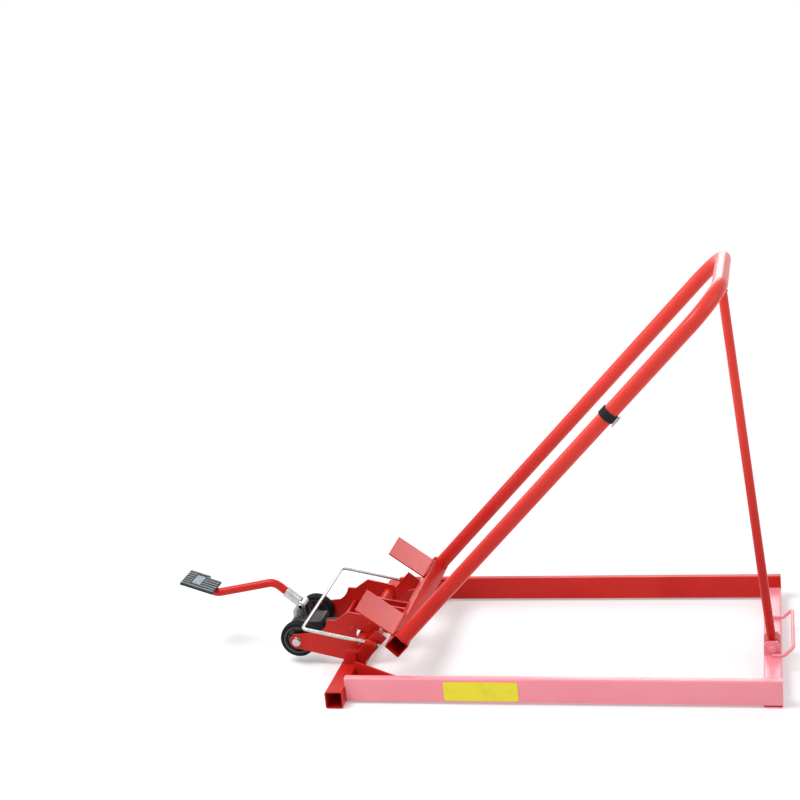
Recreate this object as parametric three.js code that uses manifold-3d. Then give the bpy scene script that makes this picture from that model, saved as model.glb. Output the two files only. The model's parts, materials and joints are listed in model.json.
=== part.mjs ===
// Lawn mower lift with a foot-pumped jack, in millimetres, +X from the jack to the carry handle, +Z up.
// A tube frame lies on the ground. A bent lifting frame turns on a shaft in the jack's side plates,
// a ram under that shaft pushes its levers, and a prop strut holds it up. The model shows it raised.
import * as THREE from 'three';
import { mergeVertices } from 'three/addons/utils/BufferGeometryUtils.js';
import Module from 'manifold-3d';

const wasm = await Module();
wasm.setup();

// Fits shared by every piece.
const weldGap = 0.3;        // between faces that are welded or rest on each other
const runningGap = 0.4;     // round a shaft or rod that turns or slides
const overrun = 5;          // how far a cutting body reaches past what it cuts

// Base frame.
const baseLength = 1236;    // over the two cross tubes
const baseWidth = 740;      // over the two rails
const hingeTubeSize = 50;   // square tube at the jack end
const hingeTubeOverhang = 33;
const crossTubeWall = 3;
const endTubeWidth = 50;    // flat-lying tube at the handle end
const endTubeHeight = 40;
const railHeight = 70;
const railThickness = 25;
const railWall = 2.5;
const railClearance = 6;    // underside of the rails above the ground
const braceReachX = 160;
const braceReachY = 105;
const braceThickness = 6;
const braceHeight = 62;

// Carry handle.
const handleRod = 10;
const handleHalfSpan = 130;
const handleCentreY = -16;
const handleReach = 31;     // how far the grip stands out past the end tube
const handleRise = 24;
const handleFoot = 28;      // length welded on top of the end tube
const handleBend = 14;

// Lifting frame.
const liftAngle = 46;       // degrees above level in the raised position
const pivotX = 72;          // lift shaft, from the outer face of the hinge-end tube
const pivotZ = 125;
const liftTubeOffsetX = 119;   // lower cross tube's axis from the shaft, frame raised
const liftTubeOffsetZ = 14;
const liftTubeSize = 50;
const liftTubeWall = 2.5;
const liftTubeInset = 4.5;  // from each leg's outer side in to the lower cross tube's end
const legLength = 1328;     // lower cross tube's axis to the top bow's axis
const legHalfGauge = 278.5;
const legDiameter = 42;
const legWall = 2.6;
const bowRadius = 120;
const stopLength = 128;
const stopThickness = 4;
const stopLean = 7;         // degrees past square to the legs
const stopInnerEdge = 140;
const stopFlange = 14;

// Levers and lift shaft.
const shaftDiameter = 20;
const washerThickness = 2;
const hubDiameter = 34;
const leverThickness = 8;
const leverHalfGap = 17;    // inner face of each lever from the middle
const leverArm = 58;
const leverArmAngle = 67.5; // degrees below level in the raised position
const leverEye = 15;
const leverHeel = 18;
const rollerDiameter = 24;
const rollerPinDiameter = 12;

// Prop strut.
const strutY = -94;
const strutDiameter = 25;
const strutWall = 2;
const strutFootX = 1210;
const strutFootRise = 18;   // hinge bolt above the end tube
const strutBolt = 12;
const strutSleeveDiameter = 22;
const clevisHalfGap = 31;
const clevisThickness = 6;
const clevisHeight = 40;
const clevisWidth = 46;
const saddleThickness = 4;
const saddleLength = 40;
const saddleHeel = 12;      // shelf past the bow's contact, towards the jack
const saddleToe = 12;       // shelf past the strut's axis, away from the jack
const saddleLip = 3;
const saddleTilt = 24;      // degrees, more than the bow's first downward path as the prop folds

// Jack chassis.
const sidePlateOuter = 125; // outer face of each side plate from the middle
const sidePlateThickness = 6;
const noseRadius = 22;      // round the wheel bolt
const noseHeel = 5;         // from the axle back to where the nose meets the lower edge
const noseSweep = 166;      // degrees from the top of the nose round to its end
const plateHeelZ = 14;      // lower edge at the hinge-end tube
const plateToeReach = 28;   // front lower corner past the tube
const plateToeRise = 12;    // and above it
const plateEarRadius = 29;  // round the lift shaft
const plateEarReach = 27;   // from the shaft to where the front edge meets the ear
const plateEarDrop = 12;
const plateEarStart = 24;   // degrees below level
const plateEarEnd = 62;     // degrees above level
const crestFrontX = 16;
const crestFrontZ = 167;
const crestBackX = 9;
const crestBackZ = 168;
const saddleFrontX = -31;   // low step of the upper edge over the cylinder
const saddleFrontZ = 141;
const saddleBackX = -55;
const saddleBackZ = 142;
const scoopX = -62;         // the upper edge curves down towards the nose through here
const scoopZ = 116;
const scoopEndX = -84;
const scoopEndZ = 104;
const windowBackX = 27;     // four corners of the window
const windowTopZ = 116;
const windowLowX = 30;
const windowLowZ = 60;
const windowMiddleX = 52;
const windowMiddleZ = 86;
const windowFrontX = 60;
const windowFrontZ = 104;
const axleX = -156;
const axleZ = 75;
const axleBolt = 14;
const wheelRadius = 54;
const wheelWidth = 30;
const wheelHubWidth = 34;
const wheelTread = 12;      // rubber thickness
const tyreShoulder = 4;     // how much less the tyre's side faces reach than its tread
const tyreBevel = 5;
const rimDepth = 8;         // from the hub's outside to its sunk web
const rimLip = 5;
const webShare = 0.4;       // thickness of the hub's web as a share of the wheel's
const hubSleeveShare = 2;   // hub sleeve's outside as a share of its bore
const tieRodX = 19;
const tieRodZ = 116;
const tieRodDiameter = 12;

// Bolts and nuts, as shares of the thread's diameter, and of the head's width for the washer.
const boltFlatsShare = 1.6;
const boltHeadShare = 0.62;
const nutHeightShare = 0.8;
const washerShare = 1.15;

// Hydraulics.
const ramZ = 69;
const ramRadius = 12;
const cylinderRadius = 25;
const cylinderEndX = -8;
const ramTravel = 46;       // how far the ram slides back
const ramBoreShare = 1 / 3; // how far the ram's bore goes into the half block
const blockFrontX = -100;
const blockBackX = -196;
const blockHalfWidth = 40;
const blockBottom = 40;
const blockTop = 104;
const blockChamfer = 10;
const bulkheadX = -36;
const bulkheadThickness = 8;
const bulkheadBottom = 34;
const bulkheadHeight = 70;
const pedalPivotX = -166;
const pedalPivotZ = 142;
const bracketThickness = 6;
const bracketRadius = 13;   // round the pedal's pin
const bracketHeel = 26;     // foot behind the pin
const bracketToe = 14;      // foot in front of it
const bracketShoulder = 24; // height of the back corner above the block
const pumpX = -184;
const pumpBossRadius = 13;
const pumpBossTop = 118;
const pumpBoreDepth = 40;
const pumpPlungerDiameter = 14;
const pumpStroke = 6;

// Pedal.
const pedalTube = 25;
const pedalTubeWall = 3;
const pedalCrestX = -247;
const pedalCrestZ = 212;
const pedalBendRadius = 40;
const pinHeadShare = 1.5;
const pedalPinDiameter = 12;
const pedalHubRadius = 13;
const pedalHubLength = 34;
const socketStart = 10;     // from the pivot to the socket's near end
const socketLength = 62;    // from the pivot to its far end
const socketWall = 3.5;
const padLength = 106;
const padWidth = 104;
const padThickness = 9;
const padSlope = 19;        // degrees down towards the jack
const padCentreX = -479;
const padCentreZ = 214;
const padSlopeInset = 8;
const padRibs = 7;
const padRibDepth = 2;
const ribShare = 0.55;
const farStripShare = 0.62;   // the far rib's length, from the pad's free end

// Support posts, guide bushes and the sliding bail.
const postInset = 123;      // from a rail's inner face in to the post's outer face
const postThickness = 8;
const postBackX = 30;       // corners of the post's flat bar, seen from the near side
const postBackZ = 62;
const postSkirtZ = 36;      // the bar laps down over the tube's inner face to here
const postSkirtReach = 24;
const postSkirtTopReach = 27;
const postSkirtTopZ = 58;
const postNeckX = 103;
const postNeckZ = 86;
const postHeadFrontX = 144;
const postHeadFrontZ = 128;
const postHeadBackX = 115;
const postHeadBackZ = 152;
const postElbowX = 56;
const postElbowZ = 88;
const postFootThickness = 8;
const postFootWidth = 36;
const postFootHeight = 44;
const bailRod = 10;
const bailBendRadius = 14;
const bailCrossX = -99;
const bailCrossZ = 163;
const bailTipX = 126;
const bailTipZ = 112;
const bushOuter = 16;
const bushLength = 32;
const bushStartX = 82;
const clipThickness = 3;
const clipWall = 2;
const clipSegments = 5;

// Tie strap on the near leg.
const strapPlace = 904;     // along the leg from the lower cross tube's axis
const strapWidth = 25;
const strapThickness = 3;
const strapSegments = 8;
const buckleWidth = 34;
const buckleLength = 22;
const buckleThickness = 6;

// Yellow plate on the near rail.
const labelStart = 331;
const labelLength = 206;
const labelHeight = 56;
const labelThickness = 1;

// Places worked out from the sizes above.
const hingeTubeTop = hingeTubeSize;
const railInner = baseWidth / 2 - railThickness;
const radians = THREE.MathUtils.degToRad;
const sidePlateInner = sidePlateOuter - sidePlateThickness;
const postFace = railInner - postInset;
const liftTubeX = pivotX + liftTubeOffsetX;
const liftTubeZ = pivotZ + liftTubeOffsetZ;
const liftTubeHalfLength = legHalfGauge + legDiameter / 2 - liftTubeInset;
const rollerX = pivotX + leverArm * Math.cos(radians(-leverArmAngle));
const rollerZ = pivotZ + leverArm * Math.sin(radians(-leverArmAngle));
const strutFootZ = endTubeHeight + strutFootRise;
const bowX = liftTubeX + legLength * Math.cos(radians(liftAngle));
const bowZ = liftTubeZ + legLength * Math.sin(radians(liftAngle));

// Colours and finishes.
const finish = (color, roughness, metalness) => new THREE.MeshStandardMaterial({ color, roughness, metalness });
const redPaint = finish(0xc42a2e, 0.4, 0);
const fadedPaint = finish(0xe8808c, 0.45, 0);
const zinc = finish(0xc9cccb, 0.35, 0.9);
const chrome = finish(0xdcdfe2, 0.15, 1);
const castBlack = finish(0x17181a, 0.5, 0.2);
const rubber = finish(0x1a1b1d, 0.8, 0);
const webbing = finish(0x17171a, 0.9, 0);
const labelYellow = finish(0xf0c928, 0.5, 0);

// Geometry helpers.
const unitX = new THREE.Vector3(1, 0, 0);
const unitY = new THREE.Vector3(0, 1, 0);
const unitZ = new THREE.Vector3(0, 0, 1);
const along = {
  x: new THREE.Matrix4().makeBasis(unitY, unitZ, unitX),
  y: new THREE.Matrix4().makeBasis(unitX, unitZ, unitY.clone().negate()),
  z: new THREE.Matrix4(),
};

// A shape pushed along one axis, centred on the origin along it. Along y the shape is drawn in X and Z.
function prism(shape, length, axis, curveSegments = 6) {
  const geometry = new THREE.ExtrudeGeometry(shape, { depth: length, bevelEnabled: false, curveSegments });
  geometry.translate(0, 0, -length / 2);
  return geometry.applyMatrix4(along[axis]);
}

// A closed outline from points written as [x, y].
const outline = (points) => new THREE.Shape(points.map(([x, y]) => new THREE.Vector2(x, y)));

function circlePath(radius, x = 0, y = 0) {
  const path = new THREE.Path();
  path.absarc(x, y, radius, 0, Math.PI * 2, true);
  return path;
}

function disc(radius) {
  const shape = new THREE.Shape();
  shape.absarc(0, 0, radius, 0, Math.PI * 2, false);
  return shape;
}

function ring(outer, inner) {
  const shape = disc(outer);
  shape.holes.push(circlePath(inner));
  return shape;
}

function rectangle(width, height) {
  const right = width / 2;
  const top = height / 2;
  return outline([[-right, -top], [right, -top], [right, top], [-right, top]]);
}

function rectangularTube(width, height, wall) {
  const shape = rectangle(width, height);
  const inside = rectangle(width - 2 * wall, height - 2 * wall).getPoints().reverse();
  shape.holes.push(new THREE.Path(inside));
  return shape;
}

function hexagon(acrossFlats) {
  const radius = acrossFlats / 2 / Math.cos(Math.PI / 6);
  const corner = (k) => [radius * Math.cos(k * Math.PI / 3), radius * Math.sin(k * Math.PI / 3)];
  return outline([0, 1, 2, 3, 4, 5].map(corner));
}

// A faceted hole is smallest across its flats, so its corners lie further out than the fit asks.
const clearOf = (radius, clearance, segments) => (radius + clearance) / Math.cos(Math.PI / (2 * segments));
const box = (x, y, z) => new THREE.BoxGeometry(x, y, z);
const rod = (diameter, length, axis, segments = 8) => prism(disc(diameter / 2), length, axis, segments);

// Joining and cutting.
function toSolid(geometry) {
  const bare = geometry.clone();
  bare.deleteAttribute('normal');
  bare.deleteAttribute('uv');
  const merged = mergeVertices(bare);
  const vertProperties = new Float32Array(merged.attributes.position.array);
  const triVerts = new Uint32Array(merged.index.array);
  return new wasm.Manifold(new wasm.Mesh({ numProp: 3, vertProperties, triVerts }));
}

function fromSolid(solid) {
  const mesh = solid.getMesh();
  const geometry = new THREE.BufferGeometry();
  geometry.setAttribute('position', new THREE.BufferAttribute(new Float32Array(mesh.vertProperties), 3));
  geometry.setIndex(new THREE.BufferAttribute(new Uint32Array(mesh.triVerts), 1));
  geometry.computeVertexNormals();
  return geometry;
}

const join = (first, ...others) =>
  fromSolid(others.reduce((sum, other) => sum.add(toSolid(other)), toSolid(first)));
const cut = (first, ...others) =>
  fromSolid(others.reduce((sum, other) => sum.subtract(toSolid(other)), toSolid(first)));

// A path of straight runs joined by bends of one radius, sampled only where it turns.
class BentPath extends THREE.Curve {
  constructor(corners, radius, bendSteps) {
    super();
    const points = corners.map((corner) => new THREE.Vector3(...corner));
    this.stations = [];
    points.forEach((point, i) => {
      if (i === 0 || i === points.length - 1) {
        const next = i === 0 ? points[1] : point;
        const last = i === 0 ? point : points[i - 1];
        this.stations.push({ point, tangent: next.clone().sub(last).normalize() });
        return;
      }
      this.bend(points[i - 1], point, points[i + 1], radius, bendSteps);
    });
    this.steps = this.stations.length - 1;
  }

  bend(before, corner, after, radius, bendSteps) {
    const arriving = corner.clone().sub(before).normalize();
    const leaving = after.clone().sub(corner).normalize();
    const turn = arriving.angleTo(leaving);
    const setback = radius * Math.tan(turn / 2);
    const start = corner.clone().addScaledVector(arriving, -setback);
    const axis = arriving.clone().cross(leaving).normalize();
    const centre = start.clone().addScaledVector(axis.clone().cross(arriving), radius);
    for (let k = 0; k <= bendSteps; k += 1) {
      const angle = turn * k / bendSteps;
      const point = start.clone().sub(centre).applyAxisAngle(axis, angle).add(centre);
      this.stations.push({ point, tangent: arriving.clone().applyAxisAngle(axis, angle) });
    }
  }

  station(t) {
    return this.stations[Math.round(t * this.steps)];
  }

  getPoint(t) {
    return this.station(t).point.clone();
  }

  getPointAt(u) {
    return this.getPoint(u);
  }

  getTangentAt(u) {
    return this.station(u).tangent.clone();
  }
}

function bentBar(shape, corners, radius, bendSteps, curveSegments) {
  const extrudePath = new BentPath(corners, radius, bendSteps);
  const options = { steps: extrudePath.steps, extrudePath, bevelEnabled: false, curveSegments };
  return new THREE.ExtrudeGeometry(shape, options);
}

// Scene graph helpers.
const lift = new THREE.Group();

function place(parent, name, geometry, material, x = 0, y = 0, z = 0) {
  const mesh = new THREE.Mesh(geometry, material);
  mesh.name = name;
  mesh.position.set(x, y, z);
  parent.add(mesh);
  return mesh;
}

// The near side is towards -Y, the far side towards +Y.
const sides = [['near', -1], ['far', 1]];

function hexBolt(diameter, length) {
  const headFlats = diameter * boltFlatsShare;
  const headHeight = diameter * boltHeadShare;
  const head = prism(hexagon(headFlats), headHeight, 'y').translate(0, -headHeight / 2, 0);
  const washer = rod(headFlats * washerShare, washerThickness, 'y')
    .translate(0, washerThickness / 2 - weldGap, 0);
  const shank = rod(diameter, length, 'y').translate(0, length / 2 - weldGap, 0);
  return join(head, washer, shank);
}

function hexNut(diameter, height) {
  const blank = prism(hexagon(diameter * boltFlatsShare), height, 'y');
  return cut(blank, rod(diameter + 2 * runningGap, height + overrun, 'y'));
}

function makeBaseFrame() {
  const tubeLength = baseWidth + 2 * hingeTubeOverhang;
  const hingeTube = prism(rectangularTube(hingeTubeSize, hingeTubeSize, crossTubeWall), tubeLength, 'y');
  place(lift, 'hinge_end_cross_tube', hingeTube, redPaint, hingeTubeSize / 2, 0, hingeTubeSize / 2);

  const railLength = baseLength - hingeTubeSize - weldGap;
  const railX = hingeTubeSize + weldGap + railLength / 2;
  const railZ = railClearance + railHeight / 2;
  const railEnvelope = (y) => box(railLength + overrun, railThickness + 2 * weldGap, railHeight + 2 * weldGap)
    .translate(railX, y, railZ);
  for (const [side, sign] of sides) {
    const railY = sign * (baseWidth / 2 - railThickness / 2);
    const rail = prism(rectangularTube(railThickness, railHeight, railWall), railLength, 'x');
    place(lift, `${side}_rail`, rail, side === 'near' ? fadedPaint : redPaint, railX, railY, railZ);

    const tubeFace = hingeTubeSize + weldGap;
    const railFace = railInner - weldGap;
    const slant = braceThickness * Math.hypot(braceReachX, braceReachY);
    const alongX = slant / braceReachY;
    const alongY = slant / braceReachX;
    const plan = outline([
      [tubeFace, railFace - braceReachY],
      [tubeFace + braceReachX, railFace],
      [tubeFace + braceReachX - alongX, railFace],
      [tubeFace, railFace - braceReachY + alongY],
    ].map(([x, y]) => [x, sign * y]));
    const brace = prism(plan, braceHeight, 'z').translate(0, 0, railClearance + braceHeight / 2);
    place(lift, `${side}_corner_brace`, brace, redPaint);
  }

  const endTubeX = baseLength - endTubeWidth / 2;
  const endTube = prism(rectangularTube(endTubeWidth, endTubeHeight, crossTubeWall), baseWidth, 'y')
    .translate(endTubeX, 0, endTubeHeight / 2);
  const railCentre = baseWidth / 2 - railThickness / 2;
  const notched = cut(endTube, railEnvelope(railCentre), railEnvelope(-railCentre));
  place(lift, 'handle_end_cross_tube', notched, fadedPaint);
}

function makeCarryHandle() {
  const restZ = endTubeHeight + handleRod / 2 + weldGap;
  const startX = baseLength - handleFoot;
  const gripX = baseLength + handleReach;
  const gripZ = restZ + handleRise;
  const leaveX = baseLength + handleRod / 2;
  const corners = [
    [startX, -handleHalfSpan, restZ], [leaveX, -handleHalfSpan, restZ], [gripX, -handleHalfSpan, gripZ],
    [gripX, handleHalfSpan, gripZ], [leaveX, handleHalfSpan, restZ], [startX, handleHalfSpan, restZ],
  ];
  const handle = bentBar(disc(handleRod / 2), corners, handleBend, 4, 3);
  place(lift, 'carry_handle', handle, fadedPaint, 0, handleCentreY, 0);
}

// The strut's own frame has its hinge bolt at the origin and its length along +Z.
function makeStrut() {
  const boltHole = () => rod(strutBolt + 2 * runningGap, 2 * clevisThickness + overrun, 'y');
  for (const [side, sign] of sides) {
    const y = strutY + sign * (clevisHalfGap + clevisThickness / 2);
    const lug = outline([
      [-clevisWidth / 2, -strutFootRise + weldGap], [clevisWidth / 2, -strutFootRise + weldGap],
      [clevisWidth / 2, strutFootRise - clevisThickness], [clevisWidth / 4, clevisHeight - strutFootRise],
      [-clevisWidth / 4, clevisHeight - strutFootRise], [-clevisWidth / 2, strutFootRise - clevisThickness],
    ]);
    const plate = cut(prism(lug, clevisThickness, 'y'), boltHole());
    place(lift, `${side}_clevis_plate`, plate, fadedPaint, strutFootX, y, strutFootZ);
  }
  const outerY = clevisHalfGap + clevisThickness + weldGap;
  const nutHeight = strutBolt * nutHeightShare;
  const boltLength = 2 * outerY + nutHeight + washerThickness;
  const bolt = hexBolt(strutBolt, boltLength);
  const boltY = strutY - outerY - washerThickness + weldGap;
  place(lift, 'strut_hinge_bolt', bolt, fadedPaint, strutFootX, boltY, strutFootZ);
  const nut = hexNut(strutBolt, nutHeight);
  place(lift, 'strut_hinge_nut', nut, fadedPaint, strutFootX, strutY + outerY + nutHeight / 2, strutFootZ);

  const strut = new THREE.Group();
  strut.position.set(strutFootX, strutY, strutFootZ);
  const lean = Math.atan2(bowX - strutFootX, bowZ - strutFootZ);
  const reach = Math.hypot(bowX - strutFootX, bowZ - strutFootZ);
  strut.rotation.y = lean;
  lift.add(strut);

  const sleeveRing = ring(strutSleeveDiameter / 2, strutBolt / 2 + runningGap);
  const sleeve = prism(sleeveRing, 2 * (clevisHalfGap - weldGap), 'y', 5);
  place(strut, 'strut_foot_sleeve', sleeve, redPaint);

  const bowClear = legDiameter / 2 + 2 * weldGap;
  const shelfTop = reach - bowClear / Math.cos(radians(saddleTilt));
  const shelfDrop = strutDiameter / 2 * Math.tan(radians(saddleTilt));
  const tubeTop = shelfTop - saddleThickness / Math.cos(radians(saddleTilt)) - shelfDrop - weldGap;
  const tubeLength = tubeTop - weldGap;
  const tubeRing = ring(strutDiameter / 2, strutDiameter / 2 - strutWall);
  const column = cut(
    prism(tubeRing, tubeLength, 'z', 6).translate(0, 0, weldGap + tubeLength / 2),
    rod(strutSleeveDiameter + 2 * weldGap, strutDiameter + overrun, 'y'),
  );
  place(strut, 'strut_tube', column, redPaint);

  const heel = -bowClear * Math.tan(radians(saddleTilt)) - saddleHeel;
  const shelf = outline([
    [heel, 0], [saddleToe, 0], [saddleToe, -saddleThickness], [heel - saddleThickness, -saddleThickness],
    [heel - saddleThickness, saddleLip], [heel, saddleLip],
  ]);
  const saddle = prism(shelf, saddleLength, 'y').rotateY(radians(saddleTilt));
  place(strut, 'strut_saddle', saddle, redPaint, 0, 0, shelfTop);
}

// The lifting frame is drawn lying level with the lower cross tube's axis at the origin, then turned up.
function makeLiftingFrame() {
  const frame = new THREE.Group();
  frame.position.set(liftTubeX, 0, liftTubeZ);
  frame.rotation.y = -radians(liftAngle);
  lift.add(frame);

  const legStart = liftTubeSize / 2 + weldGap;
  const corners = [
    [legStart, -legHalfGauge, 0], [legLength, -legHalfGauge, 0],
    [legLength, legHalfGauge, 0], [legStart, legHalfGauge, 0],
  ];
  const tube = ring(legDiameter / 2, legDiameter / 2 - legWall);
  place(frame, 'lifting_frame_tube', bentBar(tube, corners, bowRadius, 8, 5), redPaint);

  const crossSection = rectangularTube(liftTubeSize, liftTubeSize, liftTubeWall);
  const crossTube = prism(crossSection, 2 * liftTubeHalfLength, 'y');
  place(frame, 'lifting_frame_cross_tube', crossTube, redPaint);

  const stopX = liftTubeSize / 2 - stopFlange;
  const stopZ = liftTubeSize / 2 + weldGap;
  const stopOuterEdge = legHalfGauge + stopThickness;
  for (const [side, sign] of sides) {
    const section = outline([
      [0, 0], [stopFlange, 0], [stopFlange, stopThickness], [stopThickness, stopThickness],
      [stopThickness, stopLength], [0, stopLength],
    ]);
    const stopWidth = stopOuterEdge - stopInnerEdge;
    const stop = prism(section, stopWidth, 'y');
    const leanBack = new THREE.Matrix4().makeShear(0, 0, 0, 0, -Math.tan(radians(stopLean)), 0);
    place(frame, `${side}_wheel_stop`, stop.applyMatrix4(leanBack), redPaint,
      stopX, sign * (stopInnerEdge + stopWidth / 2), stopZ);
  }
  makeStrap(frame);
}

function makeStrap(frame) {
  const inner = clearOf(legDiameter / 2, weldGap, strapSegments);
  const band = prism(ring(inner + strapThickness, inner), strapWidth, 'x', strapSegments);
  place(frame, 'tie_strap', band, webbing, strapPlace, -legHalfGauge, 0);
  const buckle = box(buckleWidth, buckleLength, buckleThickness);
  const buckleZ = -inner - strapThickness - weldGap - buckleThickness / 2;
  place(frame, 'strap_buckle', buckle, zinc, strapPlace, -legHalfGauge, buckleZ);
}

// Levers, hub and roller turn with the lifting frame about the shaft, which stays in the side plates.
function makeLevers() {
  const shaftLength = 2 * (sidePlateOuter + weldGap + washerThickness);
  const shaft = rod(shaftDiameter, shaftLength, 'y', 6);
  place(lift, 'lift_shaft', shaft, redPaint, pivotX, 0, pivotZ);

  const hubLength = 2 * (sidePlateInner - washerThickness);
  const hub = prism(ring(hubDiameter / 2, shaftDiameter / 2 + runningGap), hubLength, 'y', 6);
  place(lift, 'lever_hub', hub, redPaint, pivotX, 0, pivotZ);

  const turn = radians(liftAngle);
  const frameX = new THREE.Vector2(Math.cos(turn), Math.sin(turn));
  const frameZ = new THREE.Vector2(-Math.sin(turn), Math.cos(turn));
  const onFrame = (u, v) => [
    liftTubeOffsetX + u * frameX.x + v * frameZ.x,
    liftTubeOffsetZ + u * frameX.y + v * frameZ.y,
  ];
  const face = -liftTubeSize / 2 - weldGap;
  const hubRim = hubDiameter / 2 + leverThickness;
  const hubCorner = hubRim * Math.SQRT1_2;
  const armX = rollerX - pivotX;
  const armZ = rollerZ - pivotZ;
  for (const [side, sign] of sides) {
    const arm = outline([
      onFrame(face, leverHeel), onFrame(face, -leverHeel), [armX + leverEye, armZ], [armX, armZ - leverEye],
      [armX - leverEye, armZ], [-hubRim, 0], [-hubCorner, hubCorner], [0, hubRim],
    ]);
    const plate = prism(arm, leverThickness, 'y').translate(0, sign * (leverHalfGap + leverThickness / 2), 0);
    const hubBore = rod(hubDiameter + 2 * weldGap, 2 * leverHalfGap + 4 * leverThickness, 'y', 6);
    const pinBore = rod(rollerPinDiameter + 2 * weldGap, 2 * leverHalfGap + 4 * leverThickness, 'y', 5)
      .translate(armX, 0, armZ);
    place(lift, `${side}_lever`, cut(plate, hubBore, pinBore), redPaint, pivotX, 0, pivotZ);
  }
  const pinLength = 2 * (leverHalfGap + leverThickness + washerThickness);
  place(lift, 'roller_pin', rod(rollerPinDiameter, pinLength, 'y', 4), zinc, rollerX, 0, rollerZ);
  const rollerLength = 2 * (leverHalfGap - runningGap);
  const roller = prism(ring(rollerDiameter / 2, rollerPinDiameter / 2 + runningGap), rollerLength, 'y', 5);
  place(lift, 'lever_roller', roller, zinc, rollerX, 0, rollerZ);
}

// One side plate in X and Z: round nose at the wheel, hump over the jack, window, notch over the tube.
function sidePlateOutline() {
  const top = hingeTubeTop + weldGap;
  const shape = new THREE.Shape();
  shape.moveTo(axleX - noseHeel, axleZ - noseRadius);
  shape.lineTo(-weldGap, plateHeelZ);
  shape.lineTo(-weldGap, top);
  shape.lineTo(hingeTubeSize + weldGap, top);
  shape.lineTo(hingeTubeSize + plateToeReach, top + plateToeRise);
  shape.lineTo(pivotX + plateEarReach, pivotZ - plateEarDrop);
  shape.absarc(pivotX, pivotZ, plateEarRadius, -radians(plateEarStart), radians(plateEarEnd), false);
  shape.lineTo(crestFrontX, crestFrontZ);
  shape.lineTo(crestBackX, crestBackZ);
  shape.lineTo(saddleFrontX, saddleFrontZ);
  shape.lineTo(saddleBackX, saddleBackZ);
  shape.quadraticCurveTo(scoopX, scoopZ, scoopEndX, scoopEndZ);
  shape.lineTo(axleX, axleZ + noseRadius);
  shape.absarc(axleX, axleZ, noseRadius, Math.PI / 2, Math.PI / 2 + radians(noseSweep), false);
  shape.closePath();
  return shape;
}

function makeChassis() {
  const windowShape = outline([
    [windowFrontX, windowFrontZ], [windowMiddleX, windowMiddleZ],
    [windowLowX, windowLowZ], [windowBackX, windowTopZ],
  ]);
  for (const [side, sign] of sides) {
    const drill = (diameter, x, z) => rod(diameter, sidePlateThickness + overrun, 'y', 6).translate(x, 0, z);
    const plate = cut(
      prism(sidePlateOutline(), sidePlateThickness, 'y', 8),
      prism(windowShape, sidePlateThickness + overrun, 'y'),
      drill(shaftDiameter + 2 * weldGap, pivotX, pivotZ),
      drill(tieRodDiameter + 2 * weldGap, tieRodX, tieRodZ),
      drill(axleBolt + 2 * weldGap, axleX, axleZ),
    );
    place(lift, `${side}_side_plate`, plate, redPaint, 0, sign * (sidePlateOuter - sidePlateThickness / 2), 0);
    makeWheel(side, sign);
  }
  const tieLength = 2 * (sidePlateOuter + weldGap + washerThickness);
  place(lift, 'chassis_tie_rod', rod(tieRodDiameter, tieLength, 'y', 5), redPaint, tieRodX, 0, tieRodZ);
}

function makeWheel(side, sign) {
  const wheelY = sidePlateInner - runningGap - wheelHubWidth / 2;
  const hubRadius = wheelRadius - wheelTread;
  const bore = axleBolt / 2 + runningGap;
  const halfHub = wheelHubWidth / 2;
  const halfRim = wheelWidth / 2;
  const web = halfRim * webShare;
  const sleeve = bore * hubSleeveShare;
  const lathe = (points) => new THREE.LatheGeometry(points.map(([r, h]) => new THREE.Vector2(r, h)), 28);
  const lip = hubRadius - rimLip;
  const foot = hubRadius - rimDepth;
  const hub = lathe([
    [bore, -halfHub], [sleeve, -halfHub], [sleeve, -web], [foot, -web], [lip, -halfRim],
    [hubRadius, -halfRim], [hubRadius, halfRim], [lip, halfRim], [foot, web],
    [sleeve, web], [sleeve, halfHub], [bore, halfHub], [bore, -halfHub],
  ]);
  const inner = hubRadius + weldGap;
  const shoulder = wheelRadius - tyreShoulder;
  const tyre = lathe([
    [inner, -halfRim], [shoulder, -halfRim], [wheelRadius, -halfRim + tyreBevel],
    [wheelRadius, halfRim - tyreBevel], [shoulder, halfRim], [inner, halfRim], [inner, -halfRim],
  ]);
  place(lift, `${side}_wheel_hub`, hub, castBlack, axleX, sign * wheelY, axleZ);
  place(lift, `${side}_wheel_tyre`, tyre, rubber, axleX, sign * wheelY, axleZ);

  const nutHeight = axleBolt * nutHeightShare;
  const outerY = sidePlateOuter + weldGap + washerThickness;
  const innerY = wheelY - halfHub - runningGap;
  const length = outerY - innerY + nutHeight;
  const bolt = hexBolt(axleBolt, length);
  if (sign > 0) bolt.rotateZ(Math.PI);
  place(lift, `${side}_wheel_bolt`, bolt, zinc, axleX, sign * (outerY - weldGap), axleZ);
  const nut = hexNut(axleBolt, nutHeight - weldGap);
  place(lift, `${side}_wheel_nut`, nut, zinc, axleX, sign * (innerY - nutHeight / 2), axleZ);
}

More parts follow.
